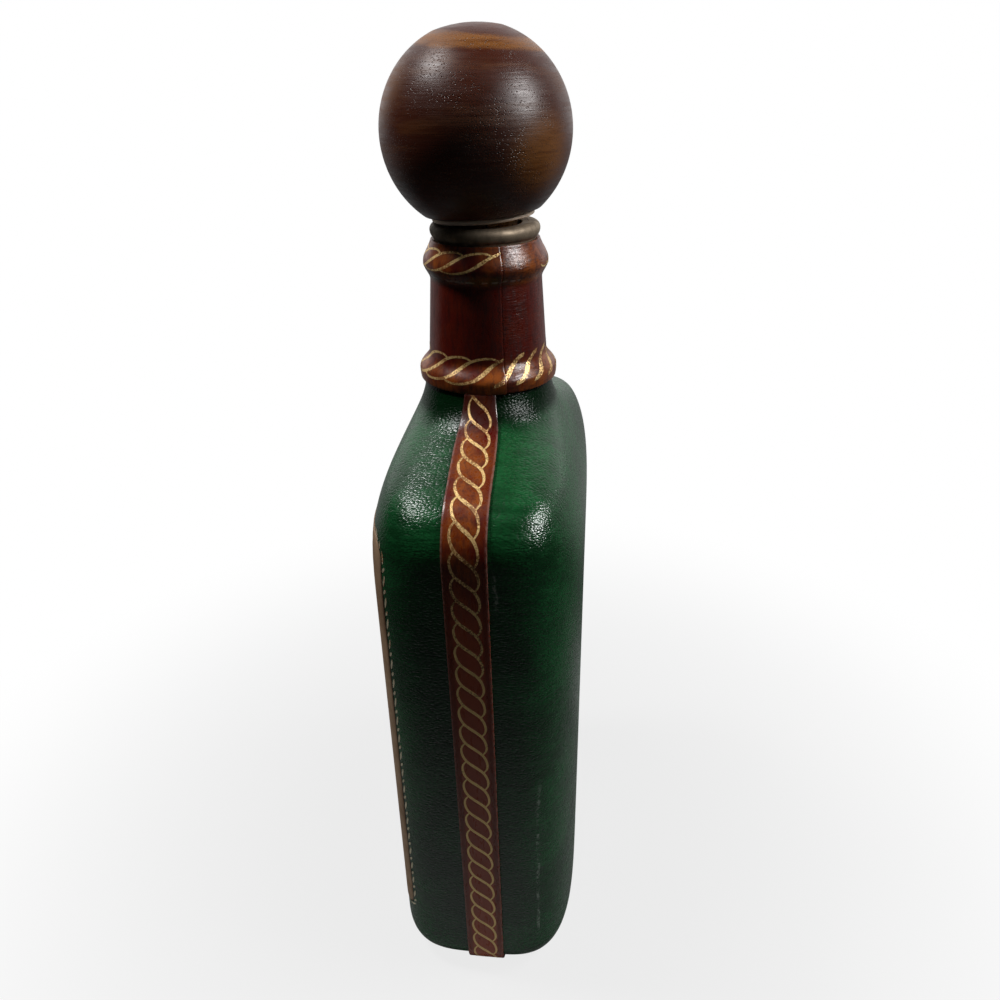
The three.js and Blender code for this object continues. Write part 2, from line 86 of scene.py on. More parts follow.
class DecanterSizes(PropertyGroup):
    """Sizes of the flask, its covering and its stopper."""
    body_width: length("Body width", 128.8, "Across the wide faces, over the leather")
    body_depth: length("Body depth", 65.4, "Between the wide faces, over the leather")
    section_power: factor("Section power", 4.1, "Squareness of the body's section, 2 being an ellipse")
    base_fillet: length("Base fillet", 11.6, "Radius round the foot of the body")
    side_height: length("Side height", 177, "Height at which the sides turn into the shoulder")
    shoulder_radius: length("Shoulder radius", 15.6, "Radius of the shoulder's turn")
    shoulder_slope: angle("Shoulder slope", 20.6, "Slope of the shoulder up to the neck")
    neck_fillet: length("Neck fillet", 16, "Radius between shoulder and neck")
    root_height: length("Neck root height", 210.34, "Height at which the sleeve begins")
    root_radius: length("Neck root", 20.1, "Radius of the green leather at the neck")
    taper_length: length("Taper length", 60.3, "Height over which the wide faces draw in")
    taper_power: factor("Taper power", 2.1, "How late the wide faces draw in")
    layer_gap: length("Layer gap", 0.2, "Between one layer of the covering and the next")
    leather: length("Leather", 1.5, "Thickness of the green leather")
    leather_tuck: length("Leather tuck", 1.5, "How far the green leather runs up under the sleeve")
    seam_gap: length("Seam gap", 0.3, "Between the two green halves")
    strap_thickness: length("Strap thickness", 1, "Thickness of the side straps")
    strap_width: length("Strap width", 12.8, "Width of the side straps")
    strap_neck_width: length("Strap neck width", 9.2, "Width of the side straps where they meet the sleeve")
    strap_slant: angle("Strap slant", 0.57, "Lean of the side straps off plumb")
    strap_tuck: length("Strap tuck", 8, "How far a strap turns in under the base")
    strap_lift: length("Strap lift", 0.1, "Height of the strap ends above the ground")
    panel_half_width: length("Panel half width", 58.5, "From the middle of the front to the panel's edge")
    panel_bottom: length("Panel bottom", 22, "Height of the panel's lower edge")
    panel_drop: length("Panel drop", 30.2, "From the neck root down to the panel's upper edge")
    panel_corner: length("Panel corner", 7, "Radius of the panel's corners")
    panel_proud: length("Panel rise", 0.25, "How far the panel stands out of the green leather")
    panel_joint: length("Panel joint", 0.3, "Gap round the panel")
    sleeve_height: length("Sleeve height", 42.4, "From the neck root to the sleeve's top")
    sleeve_thickness: length("Sleeve thickness", 1.2, "Thickness of the neck sleeve")
    stem_radius: length("Stem radius", 19.05, "Radius of the sleeve at its foot, without the band")
    stem_taper: factor("Stem taper", 0.066, "Radius lost per length of height")
    band_height: length("Band height", 3.3, "Of the band's crest above the neck root")
    band_rise: length("Band rise", 2.87, "Of the band out of the stem")
    band_upper_fall: length("Band upper fall", 5.2, "Height of the band's upper flank")
    band_lower_fall: length("Band lower fall", 12, "Height over which the lower flank would fade")
    bead_height: length("Bead height", 35.9, "Of the bead's crest above the neck root")
    bead_rise: length("Bead rise", 2.25, "Of the bead out of the stem")
    bead_upper_fall: length("Bead upper fall", 7.3, "Height of the bead's upper flank")
    bead_lower_fall: length("Bead lower fall", 5.4, "Height of the bead's lower flank")
    band_rope: length("Band rope", 6.9, "Height of the band's rope above the neck root")
    bead_rope: length("Bead rope", 37.9, "Height of the bead's rope above the neck root")
    lap_step: length("Lap step", 0.5, "Rise of the sleeve's outer flap over its inner one")
    lap_angle: angle("Lap angle", 21.5, "Where the outer flap ends, from the photographed side")
    lap_spread: angle("Lap spread", 50, "How far round the flap's rise fades")
    rope_pitch: length("Rope pitch", 7.58, "From one tooled stroke to the next")
    rope_half_width: length("Rope half width", 4, "From the rope's middle to its outer curl")
    stroke_width: length("Stroke width", 1.15, "Of a tooled stroke at its middle")
    rope_start: length("Rope start", 172.3, "Height of one of the strap's strokes, which the others follow")
    dash_length: length("Dash length", 4.3, "Of the longer dashes round the front panel")
    dash_width: length("Dash width", 0.65, "Of the dashes round the front panel")
    foil_lift: length("Foil lift", 0.04, "Of the gold above the leather")
    ring_bottom: length("Ring bottom", 253.04, "Height of the mouth ring's lower edge")
    ring_height: length("Ring height", 4.2, "Of the mouth ring")
    ring_skirt: length("Ring skirt", 15.82, "Outer radius of the ring's skirt")
    ring_wall: length("Ring wall", 0.8, "Thickness of the skirt")
    ring_bead: length("Ring bead", 1.9, "Radius of the rolled rim")
    ring_bead_rise: length("Ring bead rise", 0.65, "Of the rolled rim out past the skirt")
    ring_dish: length("Ring dish", 0.3, "Depth of the dished top")
    ring_hole: length("Ring hole", 11.2, "Radius of the ring's hole")
    lean: angle("Stopper lean", 3.6, "How far the stopper sits askew")
    lean_depth: length("Lean depth", 4.6, "Depth below the rim of the point it leans about")
    ferrule_lift: length("Ferrule lift", 1.2, "Of the ferrule above the rim")
    ferrule_radius: length("Ferrule radius", 15.2, "Of the disc under the ball")
    ferrule_thickness: length("Ferrule thickness", 1.4, "Of the disc under the ball")
    ball_radius: length("Ball radius", 27.3, "Of the wooden ball")
    ball_foot: length("Ball foot", 17, "Radius of the ball's flat underside")
    ball_flat: length("Ball flat", 9.3, "Radius of the worn flat on top")
    ball_crown: length("Ball crown", 1.2, "Rise of that flat at its middle")
    cork_top: length("Cork top", 10, "Radius of the cork under the ferrule")
    cork_foot: length("Cork foot", 9.1, "Radius of the cork at its foot")
    cork_length: length("Cork length", 21, "Of the cork")
    dowel_bore: length("Dowel bore", 4.2, "Radius of the hole for the dowel")


class DecanterColours(PropertyGroup):
    """Colours of the decanter's finishes."""
    green: colour("Green leather", (0.009, 0.115, 0.03), "Dye of the body's leather")
    green_dark: colour("Green in the grain", (0.003, 0.04, 0.01), "Darker clouds and furrows in the green")
    # Painted shade: the hollow under the sleeve is painted this dark to stand for the sleeve's shadow.
    green_painted_shade: colour("Painted shade", (0.001, 0.008, 0.002), "In the hollow under the sleeve")
    green_rubbed: colour("Rubbed green", (0.3, 0.36, 0.3), "Scuffs on the body's leather")
    red: colour("Red leather", (0.11, 0.007, 0.003), "Dye of straps and sleeve")
    # Worn red is also painted over the sleeve's bead, partly as wear and partly as painted light that lifts
    # the bead's shaded lower flank.
    red_worn_and_lit: colour("Worn red leather", (0.34, 0.085, 0.012), "Where the red is rubbed thin")
    red_faded: colour("Faded red leather", (0.55, 0.1, 0.035), "Lower part of the straps")
    # Dark red serves both the leather's deep patches and the painted shade on the straps under the sleeve.
    red_dark_and_shade: colour("Dark red leather", (0.035, 0.003, 0.002), "Deep patches in the red")
    # Worn edge serves both the straps' worn edges and the painted highlight along the fold under the
    # sleeve's bead.
    red_edge_wear_and_highlight: colour("Worn edge", (0.4, 0.24, 0.2), "Edges of the straps")
    tan: colour("Tan leather", (0.45, 0.29, 0.17), "Front panel")
    tan_dark: colour("Stained tan", (0.28, 0.165, 0.09), "Stains in the front panel")
    tan_edge: colour("Panel edge", (0.02, 0.009, 0.005), "Dyed edge of the front panel")
    gold: colour("Gold foil", (1.0, 0.68, 0.28), "Tooling")
    foil_pale: colour("Pale foil", (0.9, 0.8, 0.56), "Dashes round the front panel")
    gold_worn: colour("Worn foil", (0.34, 0.15, 0.05), "Where the gold is rubbed away")
    metal: colour("Old metal", (0.29, 0.225, 0.155), "Mouth ring and ferrule")
    # Painted light: the ferrule under the ball is painted this light to stand for the light thrown up onto
    # it.
    ferrule_painted_light: colour("Painted ferrule light", (0.95, 0.78, 0.62), "Ferrule, where it is handled")
    metal_dark: colour("Tarnish", (0.16, 0.12, 0.08), "Tarnish on ring and ferrule")
    wood: colour("Stained wood", (0.068, 0.013, 0.004), "Ball, in its dark parts")
    wood_amber: colour("Amber wood", (0.24, 0.085, 0.013), "Ball, where the stain is thin")
    wood_dust: colour("Dust in the wood", (0.3, 0.24, 0.19), "Pores of the ball")
    cork: colour("Cork", (0.42, 0.25, 0.12), "Stopper's cork")
    cork_dark: colour("Dark cork", (0.24, 0.12, 0.05), "Darker grains of the cork")
    glass: colour("Glass", (0.62, 0.75, 0.66), "Flask")
    glass_pale: colour("Pale glass", (0.8, 0.9, 0.83), "Thinner parts of the flask")
    pad: colour("Pad leather", (0.03, 0.017, 0.01), "Pad under the base")


class DecanterStage(PropertyGroup):
    """Camera and light."""
    camera_place: FloatVectorProperty(
        name="Camera place", description="Where the camera stands", subtype="TRANSLATION",
        default=(0.25233, 0.033085, 0.29848))
    camera_turn: FloatVectorProperty(
        name="Camera turn", description="How the camera is turned", subtype="EULER",
        default=(math.radians(62.0749), math.radians(1.0515), math.radians(96.2827)))
    camera_lens: FloatProperty(
        name="Camera lens", description="Focal length on a 36 mm sensor", default=29.7227,
        unit="CAMERA")
    left_light: watts("Left light", 4.5, "Power of the light on the left")
    right_light: watts("Right light", 4.5, "Power of the soft light on the right, which isn't mirrored")
    card_light: watts("Card light", 8.0, "Power of the light on the right that is only mirrored")
    fill: factor("Fill", 0.014, "Strength of the even light from all round")
    # The floor's colour is a painted pool of light: pale round the decanter and dim further off, where it
    # stands for shade on the floor.
    pale: colour("Floor", (0.3, 0.3, 0.3), "Colour of the floor round the decanter")
    dim: colour("Outer floor", (0.01, 0.01, 0.01), "Colour that the floor gives back further off")
    pool: length("Pale pool", 95, "Reach of the pale floor round the decanter")


def eased(t):
    """A soft ramp from 0 to 1."""
    return 0.5 - 0.5 * math.cos(math.pi * min(max(t, 0.0), 1.0))


def ridge(t):
    """A soft hump, 1 at its crest and 0 at a distance of 1."""
    return 1.0 - eased(abs(t))


def steps(count):
    """Even shares of a whole, from the first step to 1."""
    return [k / count for k in range(1, count + 1)]


def running_length(points):
    """Length along a line of points at each of them."""
    run = [0.0]
    for start, end in zip(points, points[1:]):
        run.append(run[-1] + math.dist(start, end))
    return run


class FlaskForm:
    """The body's outer surface: upright sides, round shoulders and a slope up to the neck."""

    def __init__(self, size):
        self.size = size
        slope = size.shoulder_slope
        self.base = size.strap_thickness + size.layer_gap + size.strap_lift
        self.wide = size.body_width / 2
        self.deep = size.body_depth / 2
        self.turn_x = self.wide - size.shoulder_radius * (1 - math.sin(slope))
        self.turn_z = size.side_height + size.shoulder_radius * math.cos(slope)
        self.fillet_x = size.root_radius + size.neck_fillet * (1 - math.sin(slope))
        self.fillet_z = self.turn_z + (self.turn_x - self.fillet_x) * math.tan(slope)
        self.crest = self.fillet_z + size.neck_fillet * math.cos(slope)
        self.root = size.root_height

    def inset(self, z):
        """How far the base fillet has drawn the section in."""
        radius = self.size.base_fillet
        below = min(self.base + radius - z, radius)
        return radius - math.sqrt(radius ** 2 - below ** 2) if below > 0 else 0.0

    def half_width(self, z):
        size = self.size
        if z <= size.side_height:
            return self.wide - self.inset(z)
        if z <= self.turn_z:
            radius = size.shoulder_radius
            return self.wide - radius + math.sqrt(radius ** 2 - (z - size.side_height) ** 2)
        if z <= self.fillet_z:
            return self.turn_x - (z - self.turn_z) / math.tan(size.shoulder_slope)
        if z < self.crest:
            radius = size.neck_fillet
            return size.root_radius + radius - math.sqrt(radius ** 2 - (self.crest - z) ** 2)
        return size.root_radius

    def half_depth(self, z):
        t = min(max(1 - (self.root - z) / self.size.taper_length, 0.0), 1.0)
        drawn = (self.size.root_radius - self.deep) * eased(t ** self.size.taper_power)
        return self.deep + drawn - self.inset(z)

    def power(self, z):
        """The section's squareness, which falls to a circle's at the neck."""
        if z <= self.size.side_height:
            return self.size.section_power
        drawn = (self.wide - self.half_width(z)) / (self.wide - self.size.root_radius)
        return self.size.section_power + (2 - self.size.section_power) * eased(drawn)

    def reach(self, point):
        """1 on the surface, more outside it and less inside."""
        power = self.power(point.z)
        across = abs(point.x / self.half_width(point.z)) ** power
        return across + abs(point.y / self.half_depth(point.z)) ** power

    def normal(self, point):
        tolerance, step = 1e-6, 1e-5
        if point.z <= self.base + tolerance:
            return Vector((0, 0, -1))
        slopes = []
        for axis in range(3):
            ahead, behind = point.copy(), point.copy()
            ahead[axis] += step
            behind[axis] -= step
            slopes.append(self.reach(ahead) - self.reach(behind))
        return Vector(slopes).normalized()

    def out(self, point, offset):
        return point + self.normal(point) * offset

    def around(self, turn, z):
        """The point at a turn round the upright axis."""
        power = self.power(z)
        cos, sin = math.cos(turn), math.sin(turn)
        spread = (abs(cos) ** power + abs(sin) ** power) ** (1 / power)
        return Vector((self.half_width(z) * cos / spread, self.half_depth(z) * sin / spread, z))

    def on_side(self, y, z):
        """The point of the narrow side on +X at a given depth."""
        power = self.power(z)
        share = (1 - abs(y / self.half_depth(z)) ** power) ** (1 / power)
        return Vector((self.half_width(z) * share, y, z))

    def on_front(self, x, z):
        """The point of the front at a given width."""
        power = self.power(z)
        share = (1 - abs(x / self.half_width(z)) ** power) ** (1 / power)
        return Vector((x, -self.half_depth(z) * share, z))

    def over_front(self, x, z, height):
        """The point at a width and level of the front's surface raised by a height."""
        at_x, at_z = x, z
        rounds = 4
        for _ in range(rounds):
            point = self.out(self.on_front(at_x, at_z), height)
            at_x += x - point.x
            at_z += z - point.z
        return point

    def levels(self):
        """Heights from the base's edge to the neck root, close together where the form turns."""
        size = self.size
        bend = RIGHT_ANGLE - size.shoulder_slope
        last = math.asin((self.crest - self.root) / size.neck_fillet)
        low = self.base + size.base_fillet
        foot = [low - size.base_fillet * math.cos(RIGHT_ANGLE * t) for t in steps(14)]
        side = [low + (size.side_height - low) * t for t in steps(66)]
        turn = [size.side_height + size.shoulder_radius * math.sin(bend * t) for t in steps(14)]
        slope = [self.turn_z + (self.fillet_z - self.turn_z) * t for t in steps(12)]
        fillet = [self.crest - size.neck_fillet * math.sin(bend + (last - bend) * t) for t in steps(12)]
        return [self.base] + foot + side + turn + slope + fillet


MERGE_DISTANCE = 1e-6
SLIVER_LENGTH = 2e-6
SPIN_STEPS = 128


def deselect():
    """Leaves nothing selected and no piece in edit mode."""
    if bpy.context.object and bpy.context.object.mode != "OBJECT":
        bpy.ops.object.mode_set(mode="OBJECT")
    bpy.ops.object.select_all(action="DESELECT")


def pick(piece):
    """Makes one piece the selected and active one."""
    deselect()
    piece.select_set(True)
    bpy.context.view_layer.objects.active = piece


def named(piece, name):
    """Gives a piece and its mesh a name."""
    piece.name = piece.data.name = name
    return piece


@contextmanager
def editing(piece):
    """Edit mode with the whole of a piece selected."""
    pick(piece)
    bpy.ops.object.mode_set(mode="EDIT")
    bpy.ops.mesh.select_all(action="SELECT")
    yield
    bpy.ops.object.mode_set(mode="OBJECT")


def close_up(piece):
    """Merges coinciding points and turns the faces outwards."""
    with editing(piece):
        bpy.ops.mesh.remove_doubles(threshold=MERGE_DISTANCE)
        bpy.ops.mesh.normals_make_consistent(inside=False)


def laid(name, columns, rows, place, chart=None):
    """A grid whose points are laid on a form by place(column, row), with a chart of its own if given."""
    deselect()
    bpy.ops.mesh.primitive_grid_add(x_subdivisions=columns, y_subdivisions=rows, size=1.0)
    piece = named(bpy.context.object, name)
    points = piece.data.vertices
    spots = [(round((v.co.x + 0.5) * columns), round((v.co.y + 0.5) * rows)) for v in points]
    for vertex, spot in zip(points, spots):
        vertex.co = place(*spot)
    if chart:
        layer = piece.data.uv_layers.active.data
        for loop in piece.data.loops:
            layer[loop.index].uv = chart(*spots[loop.vertex_index])
    close_up(piece)
    return piece


def modified(piece, kind, **settings):
    """Adds a modifier, sets it and applies it."""
    pick(piece)
    bpy.ops.object.modifier_add(type=kind)
    modifier = piece.modifiers[-1]
    for setting, value in settings.items():
        setattr(modifier, setting, value)
    bpy.ops.object.modifier_apply(modifier=modifier.name)


def rounded(piece, millimetres, segments=2, limit=50):
    """Rounds the edges that turn by more than a limit in degrees."""
    modified(piece, "BEVEL", width=millimetres * MILLIMETRE, segments=segments, limit_method="ANGLE",
             angle_limit=math.radians(limit), use_clamp_overlap=True)


def finished(piece, finish, body, slot, *nodes, smooth=40):
    """Clears a piece of slivers and gives it its finish, its body and the nodes that it stands for."""
    with editing(piece):
        bpy.ops.mesh.dissolve_degenerate(threshold=SLIVER_LENGTH)
    bpy.ops.object.shade_smooth_by_angle(angle=math.radians(smooth))
    dressed(piece, finish)
    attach(piece, body)
    if nodes:
        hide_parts(*nodes)
    deselect()


def turned(name, profile):
    """A profile of (radius, height) points, extruded point by point and spun about the upright axis."""
    deselect()
    bpy.ops.mesh.primitive_circle_add(vertices=3, radius=MILLIMETRE, location=(0, 0, 0))
    piece = named(bpy.context.object, name)
    with editing(piece):
        bpy.ops.mesh.merge(type="CENTER")
        radius, height = profile[0]
        bpy.ops.transform.translate(value=(radius, 0, height))
        for next_radius, next_height in profile[1:]:
            move = (next_radius - radius, 0, next_height - height)
            bpy.ops.mesh.extrude_region_move(TRANSFORM_OT_translate={"value": move})
            radius, height = next_radius, next_height
        bpy.ops.mesh.select_all(action="SELECT")
        bpy.ops.mesh.spin(steps=SPIN_STEPS, angle=FULL_TURN, center=(0, 0, 0), axis=(0, 0, 1))
    close_up(piece)
    return piece


def arc(centre, radius, start, end, count):
    """Points of a circular arc in a profile, with angles in degrees from the outward level."""
    points = []
    for k in range(count + 1):
        turn = math.radians(start + (end - start) * k / count)
        points.append((centre[0] + radius * math.cos(turn), centre[1] + radius * math.sin(turn)))
    return points


class Output:
    """An output of a node, which may be reckoned with like a number."""

    def __init__(self, nodes, socket):
        self.nodes = nodes
        self.socket = socket

    def math(self, operation, other=0.0):
        return self.nodes.add("ShaderNodeMath", {0: self, 1: other}, operation=operation)

    def __add__(self, other):
        return self.math("ADD", other)

    def __sub__(self, other):
        return self.math("SUBTRACT", other)

    def __mul__(self, other):
        return self.math("MULTIPLY", other)

    def __pow__(self, power):
        return self.math("POWER", power)

    def __abs__(self):
        return self.math("ABSOLUTE")

    def most(self, other):
        """The larger of two."""
        return self.math("MAXIMUM", other)

    def span(self, low, high, to_low=0.0, to_high=1.0):
        """The range from low to high, drawn smoothly to another."""
        inputs = {"Value": self, "From Min": low, "From Max": high, "To Min": to_low, "To Max": to_high}
        return self.nodes.add("ShaderNodeMapRange", inputs, "Result", interpolation_type="SMOOTHSTEP")

    def dullness(self, low, high):
        """A roughness that follows the usual range of a noise."""
        return self.span(0.3, 0.7, low, high)


class Nodes:
    """A tree to which nodes are added one at a time."""

    def __init__(self, tree):
        self.tree = tree

    def lead(self, value, socket):
        """Leads an output to a socket, or sets a plain value there."""
        if isinstance(value, Output):
            self.tree.links.new(value.socket, socket)
        else:
            socket.default_value = value

    def add(self, kind, inputs, output=0, **settings):
        """An output of a new node, whose inputs are plain values or other nodes' outputs."""
        node = self.tree.nodes.new(kind)
        for setting, value in settings.items():
            setattr(node, setting, value)
        for socket, value in inputs.items():
            self.lead(value, node.inputs[socket])
        return Output(self, node.outputs[output])

    def seen(self, mirrored):
        """1 for rays from the camera or through glass, and a given share for mirrored ones."""
        camera, glass, glossy = [self.add("ShaderNodeLightPath", {}, f"Is {kind} Ray")
                                 for kind in ("Camera", "Transmission", "Glossy")]
        return camera.most(glass).most(glossy * mirrored)

    def whiten(self, shader, share, kind, end):
        """Puts pure white in a shader's place for a share of the rays."""
        white = self.add(kind, {"Color": WHITE, "Strength": 1.0})
        mix = self.add("ShaderNodeMixShader", {0: share, 1: Output(self, shader.outputs[0]), 2: white})
        self.lead(mix, self.tree.nodes[end].inputs["Surface"])


class Finish(Nodes):
    """A material, with the patterns that its shader follows."""

    def __init__(self, name):
        self.material = bpy.data.materials.new(name)
        self.material.use_nodes = True
        super().__init__(self.material.node_tree)
        self.shader = self.tree.nodes["Principled BSDF"]
        self.place = self.add("ShaderNodeTexCoord", {}, "Object")
        self.level = self.mapped((1, 1, 1))

    def shown(self, **sockets):
        """The material, with values and outputs led to its shader."""
        for socket, value in sockets.items():
            self.lead(value, self.shader.inputs[socket.replace("_", " ")])
        return self.material

    def mapped(self, scale, rotation=(0, 0, 0)):
        """Object coordinates in millimetres, stretched by scale and turned."""
        inputs = {"Vector": self.place, "Scale": [s / MILLIMETRE for s in scale], "Rotation": rotation}
        return self.add("ShaderNodeMapping", inputs)

    def axis(self, name, vector=None):
        """One part of a vector, or of the place in millimetres."""
        return self.add("ShaderNodeSeparateXYZ", {0: vector or self.level}, name)

    def chart(self, axis):
        """Place on the piece's own chart."""
        return self.axis(axis, self.add("ShaderNodeTexCoord", {}, "UV"))

    def noise(self, vector, scale, detail=3.0, roughness=0.55, distortion=0.0, output="Fac"):
        inputs = {"Vector": vector, "Scale": scale, "Detail": detail, "Roughness": roughness,
                  "Distortion": distortion}
        return self.add("ShaderNodeTexNoise", inputs, output)

    def cells(self, vector, scale, feature="F1", randomness=1.0):
        inputs = {"Vector": vector, "Scale": scale, "Randomness": randomness}
        return self.add("ShaderNodeTexVoronoi", inputs, "Distance", feature=feature)

    def blend(self, share, first, second):
        """Two colours mixed by a share."""
        return self.add("ShaderNodeMix", {0: share, 6: first, 7: second}, 2, data_type="RGBA")

    def bump(self, height, strength, distance, under=None, hollow=False):
        """Relief of a pattern, with a distance in millimetres, over another relief if given."""
        inputs = {"Height": height, "Strength": strength, "Distance": distance * MILLIMETRE}
        if under:
            inputs["Normal"] = under
        return self.add("ShaderNodeBump", inputs, invert=hollow)

    def swayed(self, scale, reach, stretch):
        """The place in millimetres, swayed about by a noise, then stretched."""
        noise = self.noise(self.level, scale, 2.0, 0.5, output="Color")
        sway = self.add("ShaderNodeVectorMath", {0: noise, 1: (reach, reach, reach)}, operation="MULTIPLY")
        moved = self.add("ShaderNodeVectorMath", {0: self.level, 1: sway}, operation="ADD")
        return self.add("ShaderNodeMapping", {"Vector": moved, "Scale": stretch})

    def scrape(self, y, width, low, high):
        """A broken upright scratch between two heights, in millimetres."""
        sway, fade = 4.0, 6.0
        height = self.axis("Z")
        off = abs(self.axis("Y") + self.noise(self.level, 0.05) * sway - (y + sway / 2))
        ends = height.span(low, low + fade) * height.span(high, high - fade)
        broken = ends * self.noise(self.level, 0.5, 4.0, 0.7).span(0.45, 0.6)
        return off.span(width, width * 0.3) * broken

    def spot(self, centre, radius, softness):
        """1 near a point given in millimetres, 0 beyond a radius."""
        away = self.add("ShaderNodeVectorMath", {0: self.level, 1: centre}, "Value", operation="DISTANCE")
        return away.span(radius, radius * softness)


# Heights in millimetres between which a finish changes
# Heights over which the leather under the sleeve is painted darker: painted shade for the sleeve's shadow.
SLEEVE_HOLLOW = (200.5, 204.5)
STRAP_FADE = (182, 150)
# From here up the bead is painted lighter: partly wear on the raised bead, partly painted light on its
# shaded lower flank.
BEAD_RUBBED_AND_LIT = (240.5, 243)
BAND_ROLL = (222, 216)
FOIL_KEPT = (170, 110)
# Above the ring's top the metal, which is the ferrule, is painted lighter: painted light.
RING_TOP = (257.3, 257.6)
CROWN_FOOT = (302.6, 303.8)
CROWN_TOP = (307, 305.8)

# Refraction of each kind of finish
LEATHER_IOR = 1.45
DOWEL_IOR = 1.45
WOOD_IOR = 1.4
GLASS_IOR = 1.5


def painted_shade_under_sleeve(finish):
    """Share of painted shade in the hollow under the sleeve, which stands for the sleeve's shadow."""
    return finish.axis("Z").span(*SLEEVE_HOLLOW, 0.0, 0.85)


def green_goatskin(finish, colours):
    grain = finish.swayed(0.25, 0.6, (1.7, 0.85, 1.8))
    pebble = finish.cells(grain, 1.0, randomness=0.8)
    clouds = finish.noise(finish.level, 0.04, 4.0, 0.6)
    brushed = finish.noise(finish.mapped((0.5, 0.14, 1.0)), 0.5, 4.0, 0.65)
    tint = (clouds + brushed * 0.55).span(0.58, 0.98)
    base = finish.blend(tint, colours.green_dark, colours.green)
    base = finish.blend(pebble.span(0.3, 0.75, 0.0, 0.6), base, colours.green_dark)
    slanted = finish.mapped((0.6, 0.9, 0.5), (0.6, 0, 0))
    flecks = finish.noise(slanted, 0.9, 5.0, 0.7).span(0.7, 0.8)
    scratches = finish.scrape(20.8, 0.7, 18, 96).most(finish.scrape(8.9, 0.9, 160, 178))
    base = finish.blend((flecks * 0.12).most(scratches) * 0.62, base, colours.green_rubbed)
    # Painted shade under the sleeve: the colour is darkened and the gloss weakened to stand for the sleeve's
    # shadow.
    sleeve_shade = painted_shade_under_sleeve(finish)
    relief = finish.bump(pebble ** 2.0, 0.6, 0.2, hollow=True)
    return finish.shown(
        IOR=LEATHER_IOR,
        Base_Color=finish.blend(sleeve_shade, base, colours.green_painted_shade),
        Specular_IOR_Level=sleeve_shade.span(0.0, 1.0, 0.5, 0.1),
        Roughness=brushed.span(0.25, 0.75, 0.22, 0.3),
        Normal=finish.bump(finish.noise(grain, 3.0), 0.3, 0.05, relief))


def red_calf(finish, colours, rubbed, dullness):
    """Colour and roughness of red leather, stained in clouds and made lighter by a given share: wear on the
    straps and band, and wear with painted light on the sleeve's bead.
    """
    clouds = finish.noise(finish.level, 0.12, 4.0, 0.6)
    streaks = finish.noise(finish.mapped((1, 1, 0.22)), 0.8, 4.0, 0.6)
    base = finish.blend(clouds.span(0.32, 0.68) * rubbed, colours.red, colours.red_worn_and_lit)
    base = finish.blend(streaks.span(0.42, 0.75, 0.0, 0.75), base, colours.red_dark_and_shade)
    return base, streaks.dullness(dullness, dullness + 0.11)


def strap_calf(finish, colours):
    base, dull = red_calf(finish, colours, 0.9, 0.25)
    base = finish.blend(finish.axis("Z").span(*STRAP_FADE, 0.0, 0.85), base, colours.red_faded)
    edge = abs(finish.chart("X") - 0.5)
    line = edge.span(0.44, 0.48) * finish.noise(finish.level, 0.7, 4.0, 0.7).span(0.36, 0.56)
    base = finish.blend(edge.span(0.27, 0.4, 0.0, 0.55), base, colours.red)
    base = finish.blend(line * 0.4, base, colours.red_edge_wear_and_highlight)
    pores = finish.cells(finish.level, 1.7, "SMOOTH_F1")
    relief = finish.bump(finish.noise(finish.mapped((1, 1, 0.5)), 0.5), 0.3, 0.3)
    return finish.shown(
        IOR=LEATHER_IOR,
        # The strap's top is painted darker under the sleeve: painted shade for the sleeve's shadow.
        Base_Color=finish.blend(painted_shade_under_sleeve(finish), base, colours.red_dark_and_shade),
        Roughness=dull,
        Normal=finish.bump(pores, 0.25, 0.1, relief, hollow=True))


def sleeve_calf(finish, colours):
    height = finish.axis("Z")
    # The bead and band are rubbed lighter; on the bead's lower flank the lighter colour is also painted
    # light, lifting its shade.
    rubbed_and_lit = height.span(*BEAD_RUBBED_AND_LIT) + height.span(*BAND_ROLL)
    base, dull = red_calf(finish, colours, rubbed_and_lit.span(0.0, 1.0, 0.08, 1.0), 0.27)
    right = finish.axis("Y").span(5.0, 8.0)
    wrinkle = finish.noise(finish.mapped((0.35, 0.35, 2.4)), 0.8, 3.0, 0.55, 0.6)
    base = finish.blend(wrinkle.span(0.5, 0.7) * right * 0.5, base, colours.red_dark_and_shade)
    # A pale line along the fold under the bead: a painted highlight on the crease, strong enough to show in
    # the bead's shade.
    fold_highlight = abs(height - BEAD_RUBBED_AND_LIT[1]).span(0.5, 0.1)
    fold_highlight = fold_highlight * finish.noise(finish.level, 0.5, 4.0).span(0.42, 0.58)
    pores = finish.cells(finish.level, 1.6, "SMOOTH_F1")
    relief = finish.bump(finish.noise(finish.level, 0.35, 3.0, 0.6), 0.25, 0.4)
    relief = finish.bump(wrinkle * (right + 0.12), 0.4, 0.3, relief)
    return finish.shown(
        IOR=LEATHER_IOR,
        Base_Color=finish.blend(fold_highlight * 0.9, base, colours.red_edge_wear_and_highlight),
        Roughness=dull,
        Normal=finish.bump(pores, 0.15, 0.1, relief, hollow=True))


def panel_hide(finish, colours):
    clouds = finish.noise(finish.level, 0.05, 5.0, 0.62)
    blots = finish.noise(finish.level, 0.22, 4.0, 0.6)
    grain = finish.cells(finish.level, 1.4, "SMOOTH_F1")
    base = finish.blend((clouds + blots * 0.5).span(0.62, 0.98), colours.tan, colours.tan_dark)
    return finish.shown(
        IOR=LEATHER_IOR,
        Base_Color=finish.blend(finish.chart("Y").span(0.53, 0.5), base, colours.tan_edge),
        Roughness=clouds.dullness(0.46, 0.62),
        Normal=finish.bump(grain, 0.3, 0.08, finish.bump(blots, 0.3, 0.4), hollow=True))


